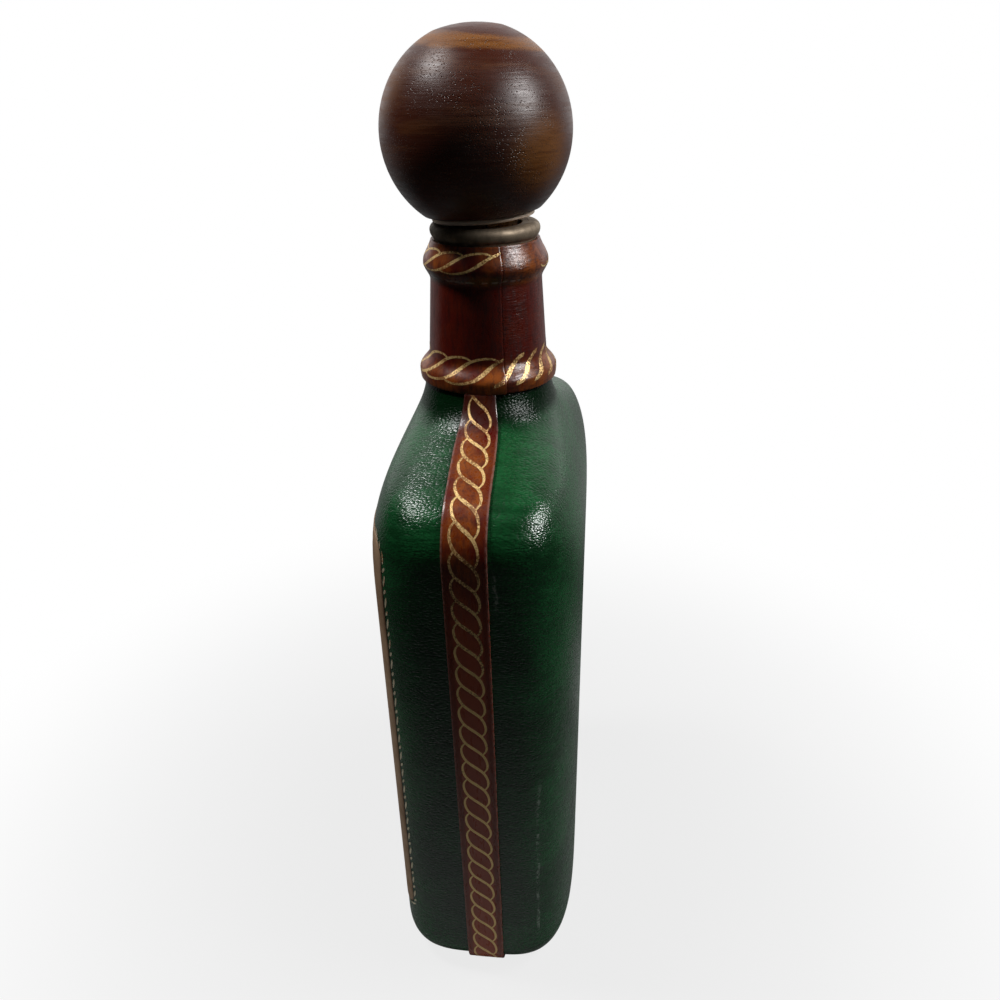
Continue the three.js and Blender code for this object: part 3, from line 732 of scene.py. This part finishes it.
def foil(finish, bright, worn):
    """Metal leaf, rubbed away in patches."""
    patches = finish.noise(finish.level, 0.13, 3.0, 0.6)
    flakes = finish.noise(finish.level, 1.6, 4.0, 0.7)
    kept = flakes * 1.5 + finish.axis("Z").span(*FOIL_KEPT, 0.0, 0.3)
    kept = (patches + kept).span(1.08, 1.36)
    return finish.shown(
        IOR=LEATHER_IOR,
        Base_Color=finish.blend(kept, worn, bright),
        Metallic=kept.span(0.0, 1.0, 0.05, 0.4),
        Roughness=flakes.dullness(0.26, 0.46),
        Normal=finish.bump(flakes, 0.7, 0.18))


def gold_foil(finish, colours):
    return foil(finish, colours.gold, colours.gold_worn)


def pale_foil(finish, colours):
    return foil(finish, colours.foil_pale, colours.gold_worn)


def tarnished_metal(finish, colours):
    smudge = finish.noise(finish.level, 0.3, 5.0, 0.65)
    base = finish.blend(smudge.span(0.35, 0.68), colours.metal, colours.metal_dark)
    return finish.shown(
        Metallic=0.5,
        # The ferrule above the ring's top is painted lighter: painted light standing for the light thrown up
        # under the ball.
        Base_Color=finish.blend(finish.axis("Z").span(*RING_TOP), base, colours.ferrule_painted_light),
        Roughness=smudge.dullness(0.54, 0.68),
        Normal=finish.bump(finish.noise(finish.mapped((0.6, 0.6, 3.0)), 2.0), 0.12, 0.05))


def turned_wood(finish, colours):
    lean = (0.0628, 0, 0)
    level = finish.mapped((1, 1, 1), lean)
    figure = finish.noise(finish.mapped((0.2, 0.2, 1.0), lean), 0.16, 5.0, 0.6, 0.6)
    fibre = finish.noise(finish.mapped((0.1, 0.1, 1.0), lean), 0.9, 4.0, 0.65)
    height = finish.axis("Z", level) + figure * 4.0
    crown = height.span(*CROWN_FOOT) * height.span(*CROWN_TOP)
    side = finish.spot((18, 19, 276), 15, 0.25) * 0.95
    left = finish.spot((10, -23, 293), 13, 0.2) * 0.5
    vein = (figure + fibre * 0.45).span(0.66, 0.95, 0.0, 0.22)
    thin = crown.most(left).most(side.most(vein)) * fibre.span(0.25, 0.6, 0.45, 1.0)
    pits = finish.cells(finish.mapped((0.8, 0.8, 1.3), lean), 1.5).span(0.36, 0.12)
    worn = finish.noise(level, 0.09, 2.0).span(0.42, 0.6)
    specks = finish.cells(level, 0.9).span(0.16, 0.05) * worn
    base = finish.blend(thin, colours.wood, colours.wood_amber)
    base = finish.blend(pits * 0.5, base, colours.pad)
    cut = finish.noise(finish.mapped((0.03, 0.03, 1.0), lean), 1.8, 4.0, 0.75)
    return finish.shown(
        IOR=WOOD_IOR,
        Base_Color=finish.blend(specks * 0.3, base, colours.wood_dust),
        Roughness=fibre.dullness(0.34, 0.46),
        Normal=finish.bump(pits * worn, 0.7, 0.09, finish.bump(cut, 0.5, 0.12), hollow=True))


def cork_bark(finish, colours):
    grain = finish.noise(finish.level, 0.6, 5.0, 0.65)
    pits = finish.cells(finish.mapped((1, 1, 0.4)), 0.45).span(0.26, 0.1)
    base = finish.blend(grain.span(0.35, 0.7), colours.cork, colours.cork_dark)
    return finish.shown(
        IOR=WOOD_IOR,
        Base_Color=finish.blend(pits, base, colours.pad),
        Roughness=grain.dullness(0.7, 0.9),
        Normal=finish.bump(grain - pits, 0.5, 0.25))


def even(finish, pattern, first, second, dullness, relief, **sockets):
    """A finish that follows one pattern throughout."""
    return finish.shown(
        Base_Color=finish.blend(pattern, first, second),
        Roughness=pattern.dullness(*dullness),
        Normal=finish.bump(pattern, *relief), **sockets)


def birch_dowel(finish, colours):
    fibre = finish.noise(finish.mapped((1, 1, 0.08)), 1.2, 4.0, 0.6)
    return even(finish, fibre, colours.cork, colours.tan, (0.55, 0.75), (0.3, 0.1), IOR=DOWEL_IOR)


def flask_glass(finish, colours):
    ripple = finish.noise(finish.mapped((1, 1, 0.4)), 0.08, 2.0)
    return even(finish, ripple, colours.glass, colours.glass_pale, (0.02, 0.06), (0.1, 0.5),
                IOR=GLASS_IOR, Transmission_Weight=1.0)


def pad_hide(finish, colours):
    nap = finish.noise(finish.level, 0.9, 5.0, 0.7)
    return even(finish, nap, colours.pad, colours.tan_dark, (0.75, 0.92), (0.4, 0.15), IOR=LEATHER_IOR)


FINISHES = {maker.__name__: maker for maker in (
    green_goatskin, strap_calf, sleeve_calf, panel_hide, gold_foil, pale_foil, tarnished_metal,
    turned_wood, cork_bark, birch_dowel, flask_glass, pad_hide)}


def dressed(piece, finish):
    """Gives a piece a finish by its name, made the first time that a piece needs it."""
    material = bpy.data.materials.get(finish)
    if not material:
        material = FINISHES[finish](Finish(finish), bpy.context.scene.decanter_colours)
    piece.data.materials.clear()
    piece.data.materials.append(material)


def panel_outline(size, form, grow):
    """Points of the panel's rounded outline in the front's width and height, grown outwards."""
    spacing = 2.5 * MILLIMETRE
    corner = size.panel_corner
    side = size.panel_half_width - corner
    low, high = size.panel_bottom + corner, form.root - size.panel_drop - corner
    corners = []
    for turn, x, z in ((-90, side, low), (0, side, high), (90, -side, high), (180, -side, low)):
        corners += arc((x, z), corner + grow, turn, turn + 90, 10)
    points = []
    for start, end in zip(corners, corners[1:] + corners[:1]):
        count = max(1, round(math.dist(start, end) / spacing))
        points += [Vector(start).lerp(Vector(end), k / count) for k in range(count)]
    return points


class DECANTER_OT_green_leather(Operator):
    """Wraps the body in two green leather halves, with a window for the front panel"""
    bl_idname = "decanter.green_leather"
    bl_label = "Green leather"

    def execute(self, context):
        size = context.scene.decanter_sizes
        form = FlaskForm(size)
        levels = form.levels() + [form.root + size.leather_tuck * t for t in steps(2)]
        columns, base_rows = 160, 6
        rows = base_rows + len(levels) - 1
        seam = size.seam_gap / 2
        # Share of the width that is left where the flat rows underneath end at the seam
        inner_width = 0.6
        for name, side in (("front", -1), ("back", 1)):

            def place(column, row):
                point = form.around(math.pi * column / columns, levels[max(row - base_rows, 0)])
                share = min(row / base_rows, 1.0)
                point.x *= inner_width + (1 - inner_width) * share
                point.y = side * (seam + max(point.y - seam, 0.0) * share)
                return point

            half = laid("covering_" + name, columns, rows, place)
            modified(half, "SOLIDIFY", thickness=size.leather, offset=-1.0)
            if name == "front":
                self.cut_window(half, size, form)
            finished(half, "green_goatskin", "flask", "green_leather", "leather_" + name)
        return {"FINISHED"}

    def cut_window(self, half, size, form):
        outline = panel_outline(size, form, 0.0)

        def place(column, row):
            x, z = outline[column % len(outline)]
            return Vector((x, -row * size.body_depth, z))

        cutter = laid("window", len(outline), 1, place)
        with editing(cutter):
            bpy.ops.mesh.fill_holes(sides=0)
            bpy.ops.mesh.normals_make_consistent(inside=False)
        modified(half, "BOOLEAN", operation="DIFFERENCE", solver="EXACT", object=cutter)
        bpy.data.objects.remove(cutter)


class DECANTER_OT_front_panel(Operator):
    """Lets the tan leather panel into the front"""
    bl_idname = "decanter.front_panel"
    bl_label = "Front panel"

    def execute(self, context):
        size = context.scene.decanter_sizes
        form = FlaskForm(size)
        middle = (form.root - size.panel_drop + size.panel_bottom) / 2
        under, top = -size.leather, size.panel_proud
        edge = 0.35 * MILLIMETRE
        spread = 0.6
        rings = [0.0] + [t ** spread for t in steps(16)]
        # Inset, share of the outline and height, from the middle underneath round to the middle on top
        stations = [(0.0, ring, under) for ring in rings]
        stations += [(0.0, 1.0, under + (top - edge - under) * t) for t in steps(3)]
        for turn in (0.5, 1.0, RIGHT_ANGLE):
            stations.append((edge * (1 - math.cos(turn)), 1.0, top - edge * (1 - math.sin(turn))))
        stations += [(edge, ring, top) for ring in reversed(rings[:-1])]
        outlines = [panel_outline(size, form, -size.panel_joint - inset) for inset, _, _ in stations]
        columns, rows = len(outlines[0]), len(stations) - 1

        def place(column, row):
            _, share, height = stations[row]
            x, z = outlines[row][column % columns]
            return form.over_front(x * share, middle + (z - middle) * share, height)

        panel = laid("tan_panel", columns, rows, place, lambda column, row: (column / columns, row / rows))
        finished(panel, "panel_hide", "flask", "tan_leather", "front_panel")
        return {"FINISHED"}


class StrapPath:
    """The line that a strap follows, from the neck root over the shoulder and down under the base."""

    # Height below the neck root over which a strap narrows
    narrowing = 14 * MILLIMETRE

    def __init__(self, size):
        self.size = size
        self.form = FlaskForm(size)
        self.foot = self.form.wide - size.base_fillet
        self.stations = [(0.0, z) for z in reversed(self.form.levels())]
        self.stations += [(size.strap_tuck * t, self.form.base) for t in steps(4)]
        self.run = running_length([(self.form.half_width(z) - tuck, z) for tuck, z in self.stations])

    def length_at(self, level):
        """Length along the strap at a height."""
        return next(run for run, (_, z) in zip(self.run, self.stations) if z <= level)

    def station(self, along):
        """Tuck and height at a length along the strap."""
        last = len(self.run) - 1
        k = next(k for k in range(1, last + 1) if along <= self.run[k] or k == last)
        share = (along - self.run[k - 1]) / (self.run[k] - self.run[k - 1])
        return tuple(a + (b - a) * share for a, b in zip(self.stations[k - 1], self.stations[k]))

    def point(self, station, across, height, side):
        """The point at a station on one of the sides, across the strap and above the body."""
        tuck, z = station
        near = eased((z - self.form.root) / self.narrowing + 1)
        y = across * (1 + (self.size.strap_neck_width / self.size.strap_width - 1) * near)
        y -= (z - self.form.root) * math.tan(self.size.strap_slant)
        if tuck > 0:
            point = Vector((self.foot - tuck, y, self.form.base - height))
        else:
            point = self.form.out(self.form.on_side(y, z), height)
        point.x *= side
        return point


class DECANTER_OT_straps(Operator):
    """Lays a red leather strap over each narrow side"""
    bl_idname = "decanter.straps"
    bl_label = "Side straps"

    def execute(self, context):
        size = context.scene.decanter_sizes
        path = StrapPath(size)
        columns = 16
        for name, side in (("strap_right", 1), ("strap_left", -1)):

            def place(column, row):
                across = (column / columns - 0.5) * size.strap_width
                return path.point(path.stations[row], across, size.layer_gap, side)

            strap = laid("red_" + name, columns, len(path.stations) - 1, place,
                         lambda column, row: (column / columns, path.run[row]))
            modified(strap, "SOLIDIFY", thickness=size.strap_thickness, offset=1.0, use_even_offset=True)
            rounded(strap, 0.3)
            finished(strap, "strap_calf", "flask", "red_leather", name)
        return {"FINISHED"}


class SleeveForm:
    """The wrapped neck sleeve's outer surface."""

    def __init__(self, size):
        self.size = size
        self.root = size.root_height
        self.bottom = self.root + size.layer_gap
        self.top = self.root + size.sleeve_height

    def radius(self, z):
        size = self.size
        height = z - self.root
        band, bead = height - size.band_height, height - size.bead_height
        band /= size.band_upper_fall if band > 0 else size.band_lower_fall
        bead /= size.bead_upper_fall if bead > 0 else size.bead_lower_fall
        rise = size.band_rise * ridge(band) + size.bead_rise * ridge(bead)
        return size.stem_radius - size.stem_taper * height + rise

    def point(self, turn, z, lift=0.0):
        """The point at a turn from the flap's end, all the way round to it."""
        rise = self.size.lap_step * ridge(min((FULL_TURN - turn) / self.size.lap_spread, 1.0))
        reach = self.radius(z) + rise + lift
        at = self.size.lap_angle + turn
        return Vector((reach * math.cos(at), reach * math.sin(at), z))


class DECANTER_OT_neck_sleeve(Operator):
    """Wraps the red leather sleeve round the neck, with its lapped seam"""
    bl_idname = "decanter.neck_sleeve"
    bl_label = "Neck sleeve"

    def execute(self, context):
        size = context.scene.decanter_sizes
        form = SleeveForm(size)
        columns, rows = 200, 72
        gap = math.radians(0.05)

        def place(column, row):
            turn = gap + (FULL_TURN - gap) * column / columns
            return form.point(turn, form.bottom + (form.top - form.bottom) * row / rows)

        sleeve = laid("red_sleeve", columns, rows, place)
        modified(sleeve, "SOLIDIFY", thickness=size.sleeve_thickness, offset=-1.0, use_even_offset=True)
        rounded(sleeve, 0.25)
        finished(sleeve, "sleeve_calf", "flask", "red_leather", "neck_sleeve")
        return {"FINISHED"}


# One tooled stroke: (across, along) in shares of the rope's half width and pitch, from its middle on
STROKE = ((0, 0), (0.35, 0.15), (0.66, 0.32), (0.9, 0.57), (1.0, 0.87), (0.92, 1.1), (0.7, 1.27))
WHOLE = len(STROKE)
WITHOUT_CURLS = 5

# The sleeve's strokes: turn in degrees from the flap's end, stretch along the rope, slant
BEAD_STROKES = [(340.0 - 27 * k, 1.25, 0.2) for k in range(10)] + [(76.0, 1.0, 0.2)]
BAND_STROKES = [(100.2 + 20.2 * k, 1.0, 0.0) for k in range(8)]
BAND_STROKES += [(267.5 + 25.5 * k, 1.24, 0.2) for k in range(4)]
LAP_STROKES = [(6.0 + 18 * k, 0.5, 0.5) for k in range(5)]


def stroke_line(knots_kept):
    """The stroke's smooth middle line, with its width in shares at each point."""
    thinning, bluntness = 0.58, 1.2
    half = [Vector(spot) for spot in STROKE[:knots_kept]]
    knots = [-spot for spot in reversed(half[1:])] + half
    line = [knots[0]]
    for k in range(len(knots) - 1):
        before, start, end = knots[max(k - 1, 0)], knots[k], knots[k + 1]
        after = knots[min(k + 2, len(knots) - 1)]
        line += [0.5 * (start + end) + (start - before - after + end) / 16, end]
    middle = (len(line) - 1) / 2
    return [(spot, 1.0 - thinning * (abs(k - middle) / middle) ** bluntness) for k, spot in enumerate(line)]


def flat_stroke(size, boldness=1.0, knots_kept=WHOLE):
    """One stroke of the rope, flat, across X and along Y."""
    line = stroke_line(knots_kept)
    spots = [Vector((spot.x * size.rope_half_width, spot.y * size.rope_pitch)) for spot, _ in line]

    def place(column, row):
        ahead = (spots[min(row + 1, len(spots) - 1)] - spots[max(row - 1, 0)]).normalized()
        wide = line[row][1] * size.stroke_width * boldness * (column / 2 - 0.5)
        return Vector((spots[row].x + ahead.y * wide, spots[row].y - ahead.x * wide, 0))

    return laid("stroke", 2, len(line) - 1, place)


def flat_dash(size):
    """One dash of the panel's border, flat and slightly slanted, along Y."""
    rows, slant, blunt = 6, 0.09, 1.02

    def place(column, row):
        t = 2 * row / rows - 1
        wide = size.dash_width * math.sqrt(blunt - t * t) * (column / 2 - 0.5)
        return Vector((wide + slant * t * size.dash_length, t * size.dash_length / 2, 0))

    return laid("dash", 2, rows, place)


def repeated(name, pattern, stations, lay):
    """Copies of a flat pattern at (length, stretch, slant) stations, laid by lay(along, across)."""
    copies = []
    for middle, stretch, slant in stations:
        copy = pattern.copy()
        copy.data = pattern.data.copy()
        bpy.context.collection.objects.link(copy)
        for vertex in copy.data.vertices:
            vertex.co = lay(middle + vertex.co.y * stretch + vertex.co.x * slant, vertex.co.x)
        copies.append(copy)
    bpy.data.objects.remove(pattern)
    pick(copies[0])
    for copy in copies:
        copy.select_set(True)
    bpy.ops.object.join()
    return named(bpy.context.object, name)


def gilded(row, slot, finish="gold_foil"):
    """Turns a row of tooling outwards and gives it its foil."""
    with editing(row):
        bpy.ops.mesh.normals_make_consistent(inside=False)
    finished(row, finish, "flask", slot)


class DECANTER_OT_tooling(Operator):
    """Tools the gold ropes on straps and sleeve and the dashes round the front panel"""
    bl_idname = "decanter.tooling"
    bl_label = "Gold tooling"

    def execute(self, context):
        size = context.scene.decanter_sizes
        self.strap_ropes(size)
        self.sleeve_rope(size, "rope_bead", size.bead_rope, BEAD_STROKES, squeeze=0.72)
        self.sleeve_rope(size, "rope_band", size.band_rope, BAND_STROKES, squeeze=0.92)
        self.sleeve_rope(size, "rope_band_lap", size.band_rope, LAP_STROKES, squeeze=0.92,
                         boldness=2.6, knots_kept=WITHOUT_CURLS)
        self.panel_border(size)
        return {"FINISHED"}

    def strap_ropes(self, size):
        path = StrapPath(size)
        pitch = size.rope_pitch
        height = size.layer_gap + size.strap_thickness + size.foil_lift
        first = path.length_at(size.rope_start) % pitch
        end_margin = 0.3
        count = int((path.run[-1] - first) / pitch - end_margin)
        stations = [(first + k * pitch, 1.0, 0.0) for k in range(count)]
        for name, side in (("rope_strap_right", 1), ("rope_strap_left", -1)):

            def lay(along, across):
                return path.point(path.station(max(along, 0.0)), across * side, height, side)

            gilded(repeated(name, flat_stroke(size), stations, lay), "red_leather")

    def sleeve_rope(self, size, name, height, strokes, squeeze, boldness=1.0, knots_kept=WHOLE):
        form = SleeveForm(size)
        middle = form.root + height
        around = FULL_TURN * form.radius(middle)
        stations = [(around * turn / 360, stretch, slant) for turn, stretch, slant in strokes]
        clear_of_flap = 0.005

        def lay(along, across):
            turn = along / around * FULL_TURN
            turn = turn % FULL_TURN if turn < 1 else min(turn, FULL_TURN - clear_of_flap)
            level = min(max(middle + across * squeeze, form.bottom), form.top)
            return form.point(turn, level, size.foil_lift)

        gilded(repeated(name, flat_stroke(size, boldness, knots_kept), stations, lay), "red_leather")

    def panel_border(self, size):
        form = FlaskForm(size)
        outline = panel_outline(size, form, size.dash_width)
        outline.append(outline[0])
        run = running_length(outline)
        count = round(run[-1] / size.rope_pitch)
        short = 0.5
        stations = []
        for k in range(count):
            stations.append((run[-1] * k / count, 1.0, 0.0))
            stations.append((run[-1] * (k + 0.5) / count, short, 0.0))

        def lay(along, across):
            along %= run[-1]
            k = next(k for k in range(1, len(run)) if along <= run[k])
            ahead = (outline[k] - outline[k - 1]).normalized()
            spot = outline[k - 1] + ahead * (along - run[k - 1]) + Vector((ahead.y, -ahead.x)) * across
            return form.out(form.on_front(spot.x, spot.y), size.foil_lift)

        gilded(repeated("border_panel", flat_dash(size), stations, lay), "green_leather", "pale_foil")


class DECANTER_OT_mouth_ring(Operator):
    """Turns the metal ring on the mouth"""
    bl_idname = "decanter.mouth_ring"
    bl_label = "Mouth ring"

    def execute(self, context):
        size = context.scene.decanter_sizes
        seat_height, lip_depth, lip_wall = 2.3 * MILLIMETRE, 0.6 * MILLIMETRE, 0.3 * MILLIMETRE
        bead_start = 66
        rim = size.ring_bottom + size.ring_height
        bead_x = size.ring_skirt + size.ring_bead_rise - size.ring_bead
        bead_z = rim - size.ring_bead
        dish_x = (bead_x + size.ring_hole) / 2
        inner = size.ring_skirt - size.ring_wall
        seat, lip = size.ring_bottom + seat_height, size.ring_bottom - lip_depth
        profile = [(inner, lip), (inner + lip_wall, lip)]
        stretch = (size.ring_height - size.ring_bead) / size.ring_bead / math.sin(math.radians(bead_start))
        for x, z in arc((bead_x, bead_z), size.ring_bead, -bead_start, 90, 24):
            profile.append((x, z if z > bead_z else bead_z + (z - bead_z) * stretch))
        for t in steps(8):
            profile.append((bead_x + (dish_x - bead_x) * (2 * t - t * t), rim - size.ring_dish * t * t))
        hole = size.ring_hole
        profile += [(hole, rim - size.ring_dish), (hole, seat), (inner, seat), (inner, lip)]
        ring = turned("metal_ring", profile)
        rounded(ring, 0.15)
        finished(ring, "tarnished_metal", "flask", "old_metal", "mouth_ring")
        return {"FINISHED"}


class DECANTER_OT_stopper(Operator):
    """Turns the ball, its ferrule and its cork, and sets them askew in the mouth"""
    bl_idname = "decanter.stopper"
    bl_label = "Stopper"

    def execute(self, context):
        size = context.scene.decanter_sizes
        for name, profile, finish, slot, node, smooth in (
                ("wooden_ball", self.ball(size), "turned_wood", "stained_wood", "stopper_ball", 40),
                ("metal_ferrule", self.ferrule(size), "tarnished_metal", "old_metal", "stopper_ferrule", 40),
                ("cork_plug", self.cork(size), "cork_bark", "cork", "stopper_cork", 30)):
            piece = turned(name, profile)
            if name == "wooden_ball":
                rounded(piece, 0.5, segments=3, limit=14)
            self.lean(piece, size)
            finished(piece, finish, "stopper", slot, node, smooth=smooth)
        dressed(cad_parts["stopper_dowel"], "birch_dowel")
        return {"FINISHED"}

    def ball(self, size):
        """The ball's profile, from its bore round to its crown, above the ferrule's underside."""
        foot = size.ferrule_thickness + size.layer_gap
        bore_top = foot + 16.2 * MILLIMETRE
        middle = foot + math.sqrt(size.ball_radius ** 2 - size.ball_foot ** 2)
        flat = middle + math.sqrt(size.ball_radius ** 2 - size.ball_flat ** 2)
        low = -math.degrees(math.acos(size.ball_foot / size.ball_radius))
        high = math.degrees(math.acos(size.ball_flat / size.ball_radius))
        profile = [(0, bore_top), (size.dowel_bore, bore_top), (size.dowel_bore, foot)]
        profile += arc((0, middle), size.ball_radius, low, high, 72)
        for t in steps(4):
            profile.append((size.ball_flat * (1 - t), flat + size.ball_crown * (2 * t - t * t)))
        return profile

    def ferrule(self, size):
        """The ferrule's profile, with a hollow boss round the cork."""
        edge = 0.45 * MILLIMETRE
        out, top, bore = size.ferrule_radius - edge, size.ferrule_thickness, size.dowel_bore
        boss = ((0.1, 0), (0.15, -0.9), (0.6, -0.75), (1.3, -0.36), (2.2, -0.08), (3.0, 0))
        profile = [(bore, 0)]
        profile += [(size.cork_top + step * MILLIMETRE, drop * MILLIMETRE) for step, drop in boss]
        profile += arc((out, edge), edge, -90, 0, 5) + arc((out, top - edge), edge, 0, 90, 5)
        return profile + [(bore, top), (bore, 0)]

    def cork(self, size):
        """The cork's profile, from its foot up to the ferrule and down its bore."""
        chamfer = 1.2 * MILLIMETRE
        top = -size.layer_gap
        end, bore_end = top - size.cork_length, top - 13.2 * MILLIMETRE
        return [(0, end), (size.cork_foot - chamfer, end), (size.cork_foot, end + chamfer),
                (size.cork_top, top), (size.dowel_bore, top), (size.dowel_bore, bore_end), (0, bore_end)]

    def lean(self, piece, size):
        rim = size.ring_bottom + size.ring_height
        place = Matrix.Translation((0, 0, rim - size.lean_depth)) @ Matrix.Rotation(size.lean, 4, "X")
        piece.matrix_world = place @ Matrix.Translation((0, 0, size.lean_depth + size.ferrule_lift))
        pick(piece)
        bpy.ops.object.transform_apply(location=True, rotation=True, scale=True)


class DECANTER_OT_flask_and_pad(Operator):
    """Finishes the glass flask and the leather pad that it stands on"""
    bl_idname = "decanter.flask_and_pad"
    bl_label = "Glass flask and base pad"

    def execute(self, context):
        dressed(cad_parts["glass_flask"], "flask_glass")
        pick(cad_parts["base_pad"])
        bpy.ops.object.duplicate()
        pad = named(context.object, "foot_pad")
        close_up(pad)
        rounded(pad, 0.35, segments=3)
        finished(pad, "pad_hide", "flask", "base_leather", "base_pad")
        return {"FINISHED"}


class DECANTER_OT_stage(Operator):
    """Sets floor, lights, background and camera"""
    bl_idname = "decanter.stage"
    bl_label = "Stage"

    def execute(self, context):
        scene = context.scene
        stage = scene.decanter_stage
        self.floor(stage)
        self.background(scene, stage)
        self.light("light_left", Vector((-0.03, -0.53, 0.85)), stage.left_light, width=0.16)
        soft = self.light("light_right", Vector((-0.05, 0.7, 0.7)), stage.right_light, width=0.35)
        soft.visible_glossy = False
        card = self.light("light_card", Vector((0.2, 0.8, 0.57)), stage.card_light, width=0.24)
        card.visible_diffuse = False
        bpy.ops.object.camera_add(location=stage.camera_place, rotation=stage.camera_turn)
        scene.camera = context.object
        scene.camera.data.sensor_width = SENSOR_WIDTH
        scene.camera.data.lens = stage.camera_lens
        scene.camera.data.clip_start = 0.01
        scene.view_settings.view_transform = "Standard"
        return {"FINISHED"}

    def floor(self, stage):
        """A floor that is white to the camera, but for its shadow, and to the decanter a painted pool of
        light: pale near it and dim further off.
        """
        deselect()
        width, fade = 8.0, 2.5
        mirror_start, mirror_end, mirrored = -0.15, -0.35, 0.25
        shadow_start, shadow_end, shadow_white = 0.06, 0.3, 0.8
        bpy.ops.mesh.primitive_plane_add(size=width)
        floor = named(bpy.context.object, "floor")
        finish = Finish("pale_floor")
        away = finish.add("ShaderNodeVectorMath", {0: finish.place}, "Value", operation="LENGTH")
        # A painted pool of light: the floor is pale near the decanter and dim further off, standing for
        # shade on the floor.
        near = away.span(stage.pool * fade, stage.pool)
        finish.shown(Roughness=0.9, Base_Color=finish.blend(near, stage.dim, stage.pale))
        behind = finish.axis("X", finish.place).span(mirror_start, mirror_end, 0.0, mirrored)
        share = finish.seen(behind) * away.span(shadow_start, shadow_end, shadow_white, 1.0)
        finish.whiten(finish.shader, share, "ShaderNodeEmission", "Material Output")
        floor.data.materials.append(finish.material)

    def background(self, scene, stage):
        """A world that is white to the camera and lights the decanter with a faint fill."""
        scene.world = bpy.data.worlds.new("studio")
        scene.world.use_nodes = True
        nodes = Nodes(scene.world.node_tree)
        fill = nodes.tree.nodes["Background"]
        nodes.lead(WHITE, fill.inputs["Color"])
        nodes.lead(stage.fill, fill.inputs["Strength"])
        toward = nodes.add("ShaderNodeTexCoord", {}, "Generated")
        depth = nodes.add("ShaderNodeSeparateXYZ", {0: toward}, "X")
        mirror_start, mirror_end = -0.5, -0.62
        ramp = {"Value": depth, "From Min": mirror_start, "From Max": mirror_end}
        behind = nodes.add("ShaderNodeMapRange", ramp)
        nodes.whiten(fill, nodes.seen(behind), "ShaderNodeBackground", "World Output")

    def light(self, name, direction, power, width):
        """A round light that stands off the decanter's neck in a direction."""
        target, distance = Vector((0.02, 0, 0.24)), 0.8
        bpy.ops.object.light_add(type="AREA", location=target + direction.normalized() * distance)
        lamp = bpy.context.object
        lamp.name = name
        lamp.rotation_euler = direction.to_track_quat("Z", "Y").to_euler()
        lamp.data.shape = "DISK"
        lamp.data.size = width
        lamp.data.energy = power
        return lamp


class DECANTER_PT_sidebar(Panel):
    """Lists the decanter's operators"""
    bl_label = "Decanter"
    bl_idname = "DECANTER_PT_sidebar"
    bl_space_type = "VIEW_3D"
    bl_region_type = "UI"
    bl_category = "Decanter"

    def draw(self, context):
        for operator in OPERATORS:
            self.layout.operator(operator.bl_idname)


OPERATORS = (
    DECANTER_OT_flask_and_pad,
    DECANTER_OT_green_leather,
    DECANTER_OT_front_panel,
    DECANTER_OT_straps,
    DECANTER_OT_neck_sleeve,
    DECANTER_OT_tooling,
    DECANTER_OT_mouth_ring,
    DECANTER_OT_stopper,
    DECANTER_OT_stage,
)
GROUPS = (DecanterSizes, DecanterColours, DecanterStage)


def register():
    for cls in GROUPS + OPERATORS + (DECANTER_PT_sidebar,):
        bpy.utils.register_class(cls)
    bpy.types.Scene.decanter_sizes = PointerProperty(type=DecanterSizes)
    bpy.types.Scene.decanter_colours = PointerProperty(type=DecanterColours)
    bpy.types.Scene.decanter_stage = PointerProperty(type=DecanterStage)


def unregister():
    del bpy.types.Scene.decanter_stage
    del bpy.types.Scene.decanter_colours
    del bpy.types.Scene.decanter_sizes
    for cls in reversed(GROUPS + OPERATORS + (DECANTER_PT_sidebar,)):
        bpy.utils.unregister_class(cls)


def main():
    register()
    bpy.ops.decanter.flask_and_pad()
    bpy.ops.decanter.green_leather()
    bpy.ops.decanter.front_panel()
    bpy.ops.decanter.straps()
    bpy.ops.decanter.neck_sleeve()
    bpy.ops.decanter.tooling()
    bpy.ops.decanter.mouth_ring()
    bpy.ops.decanter.stopper()
    bpy.ops.decanter.stage()


if __name__ == "__main__":
    main()
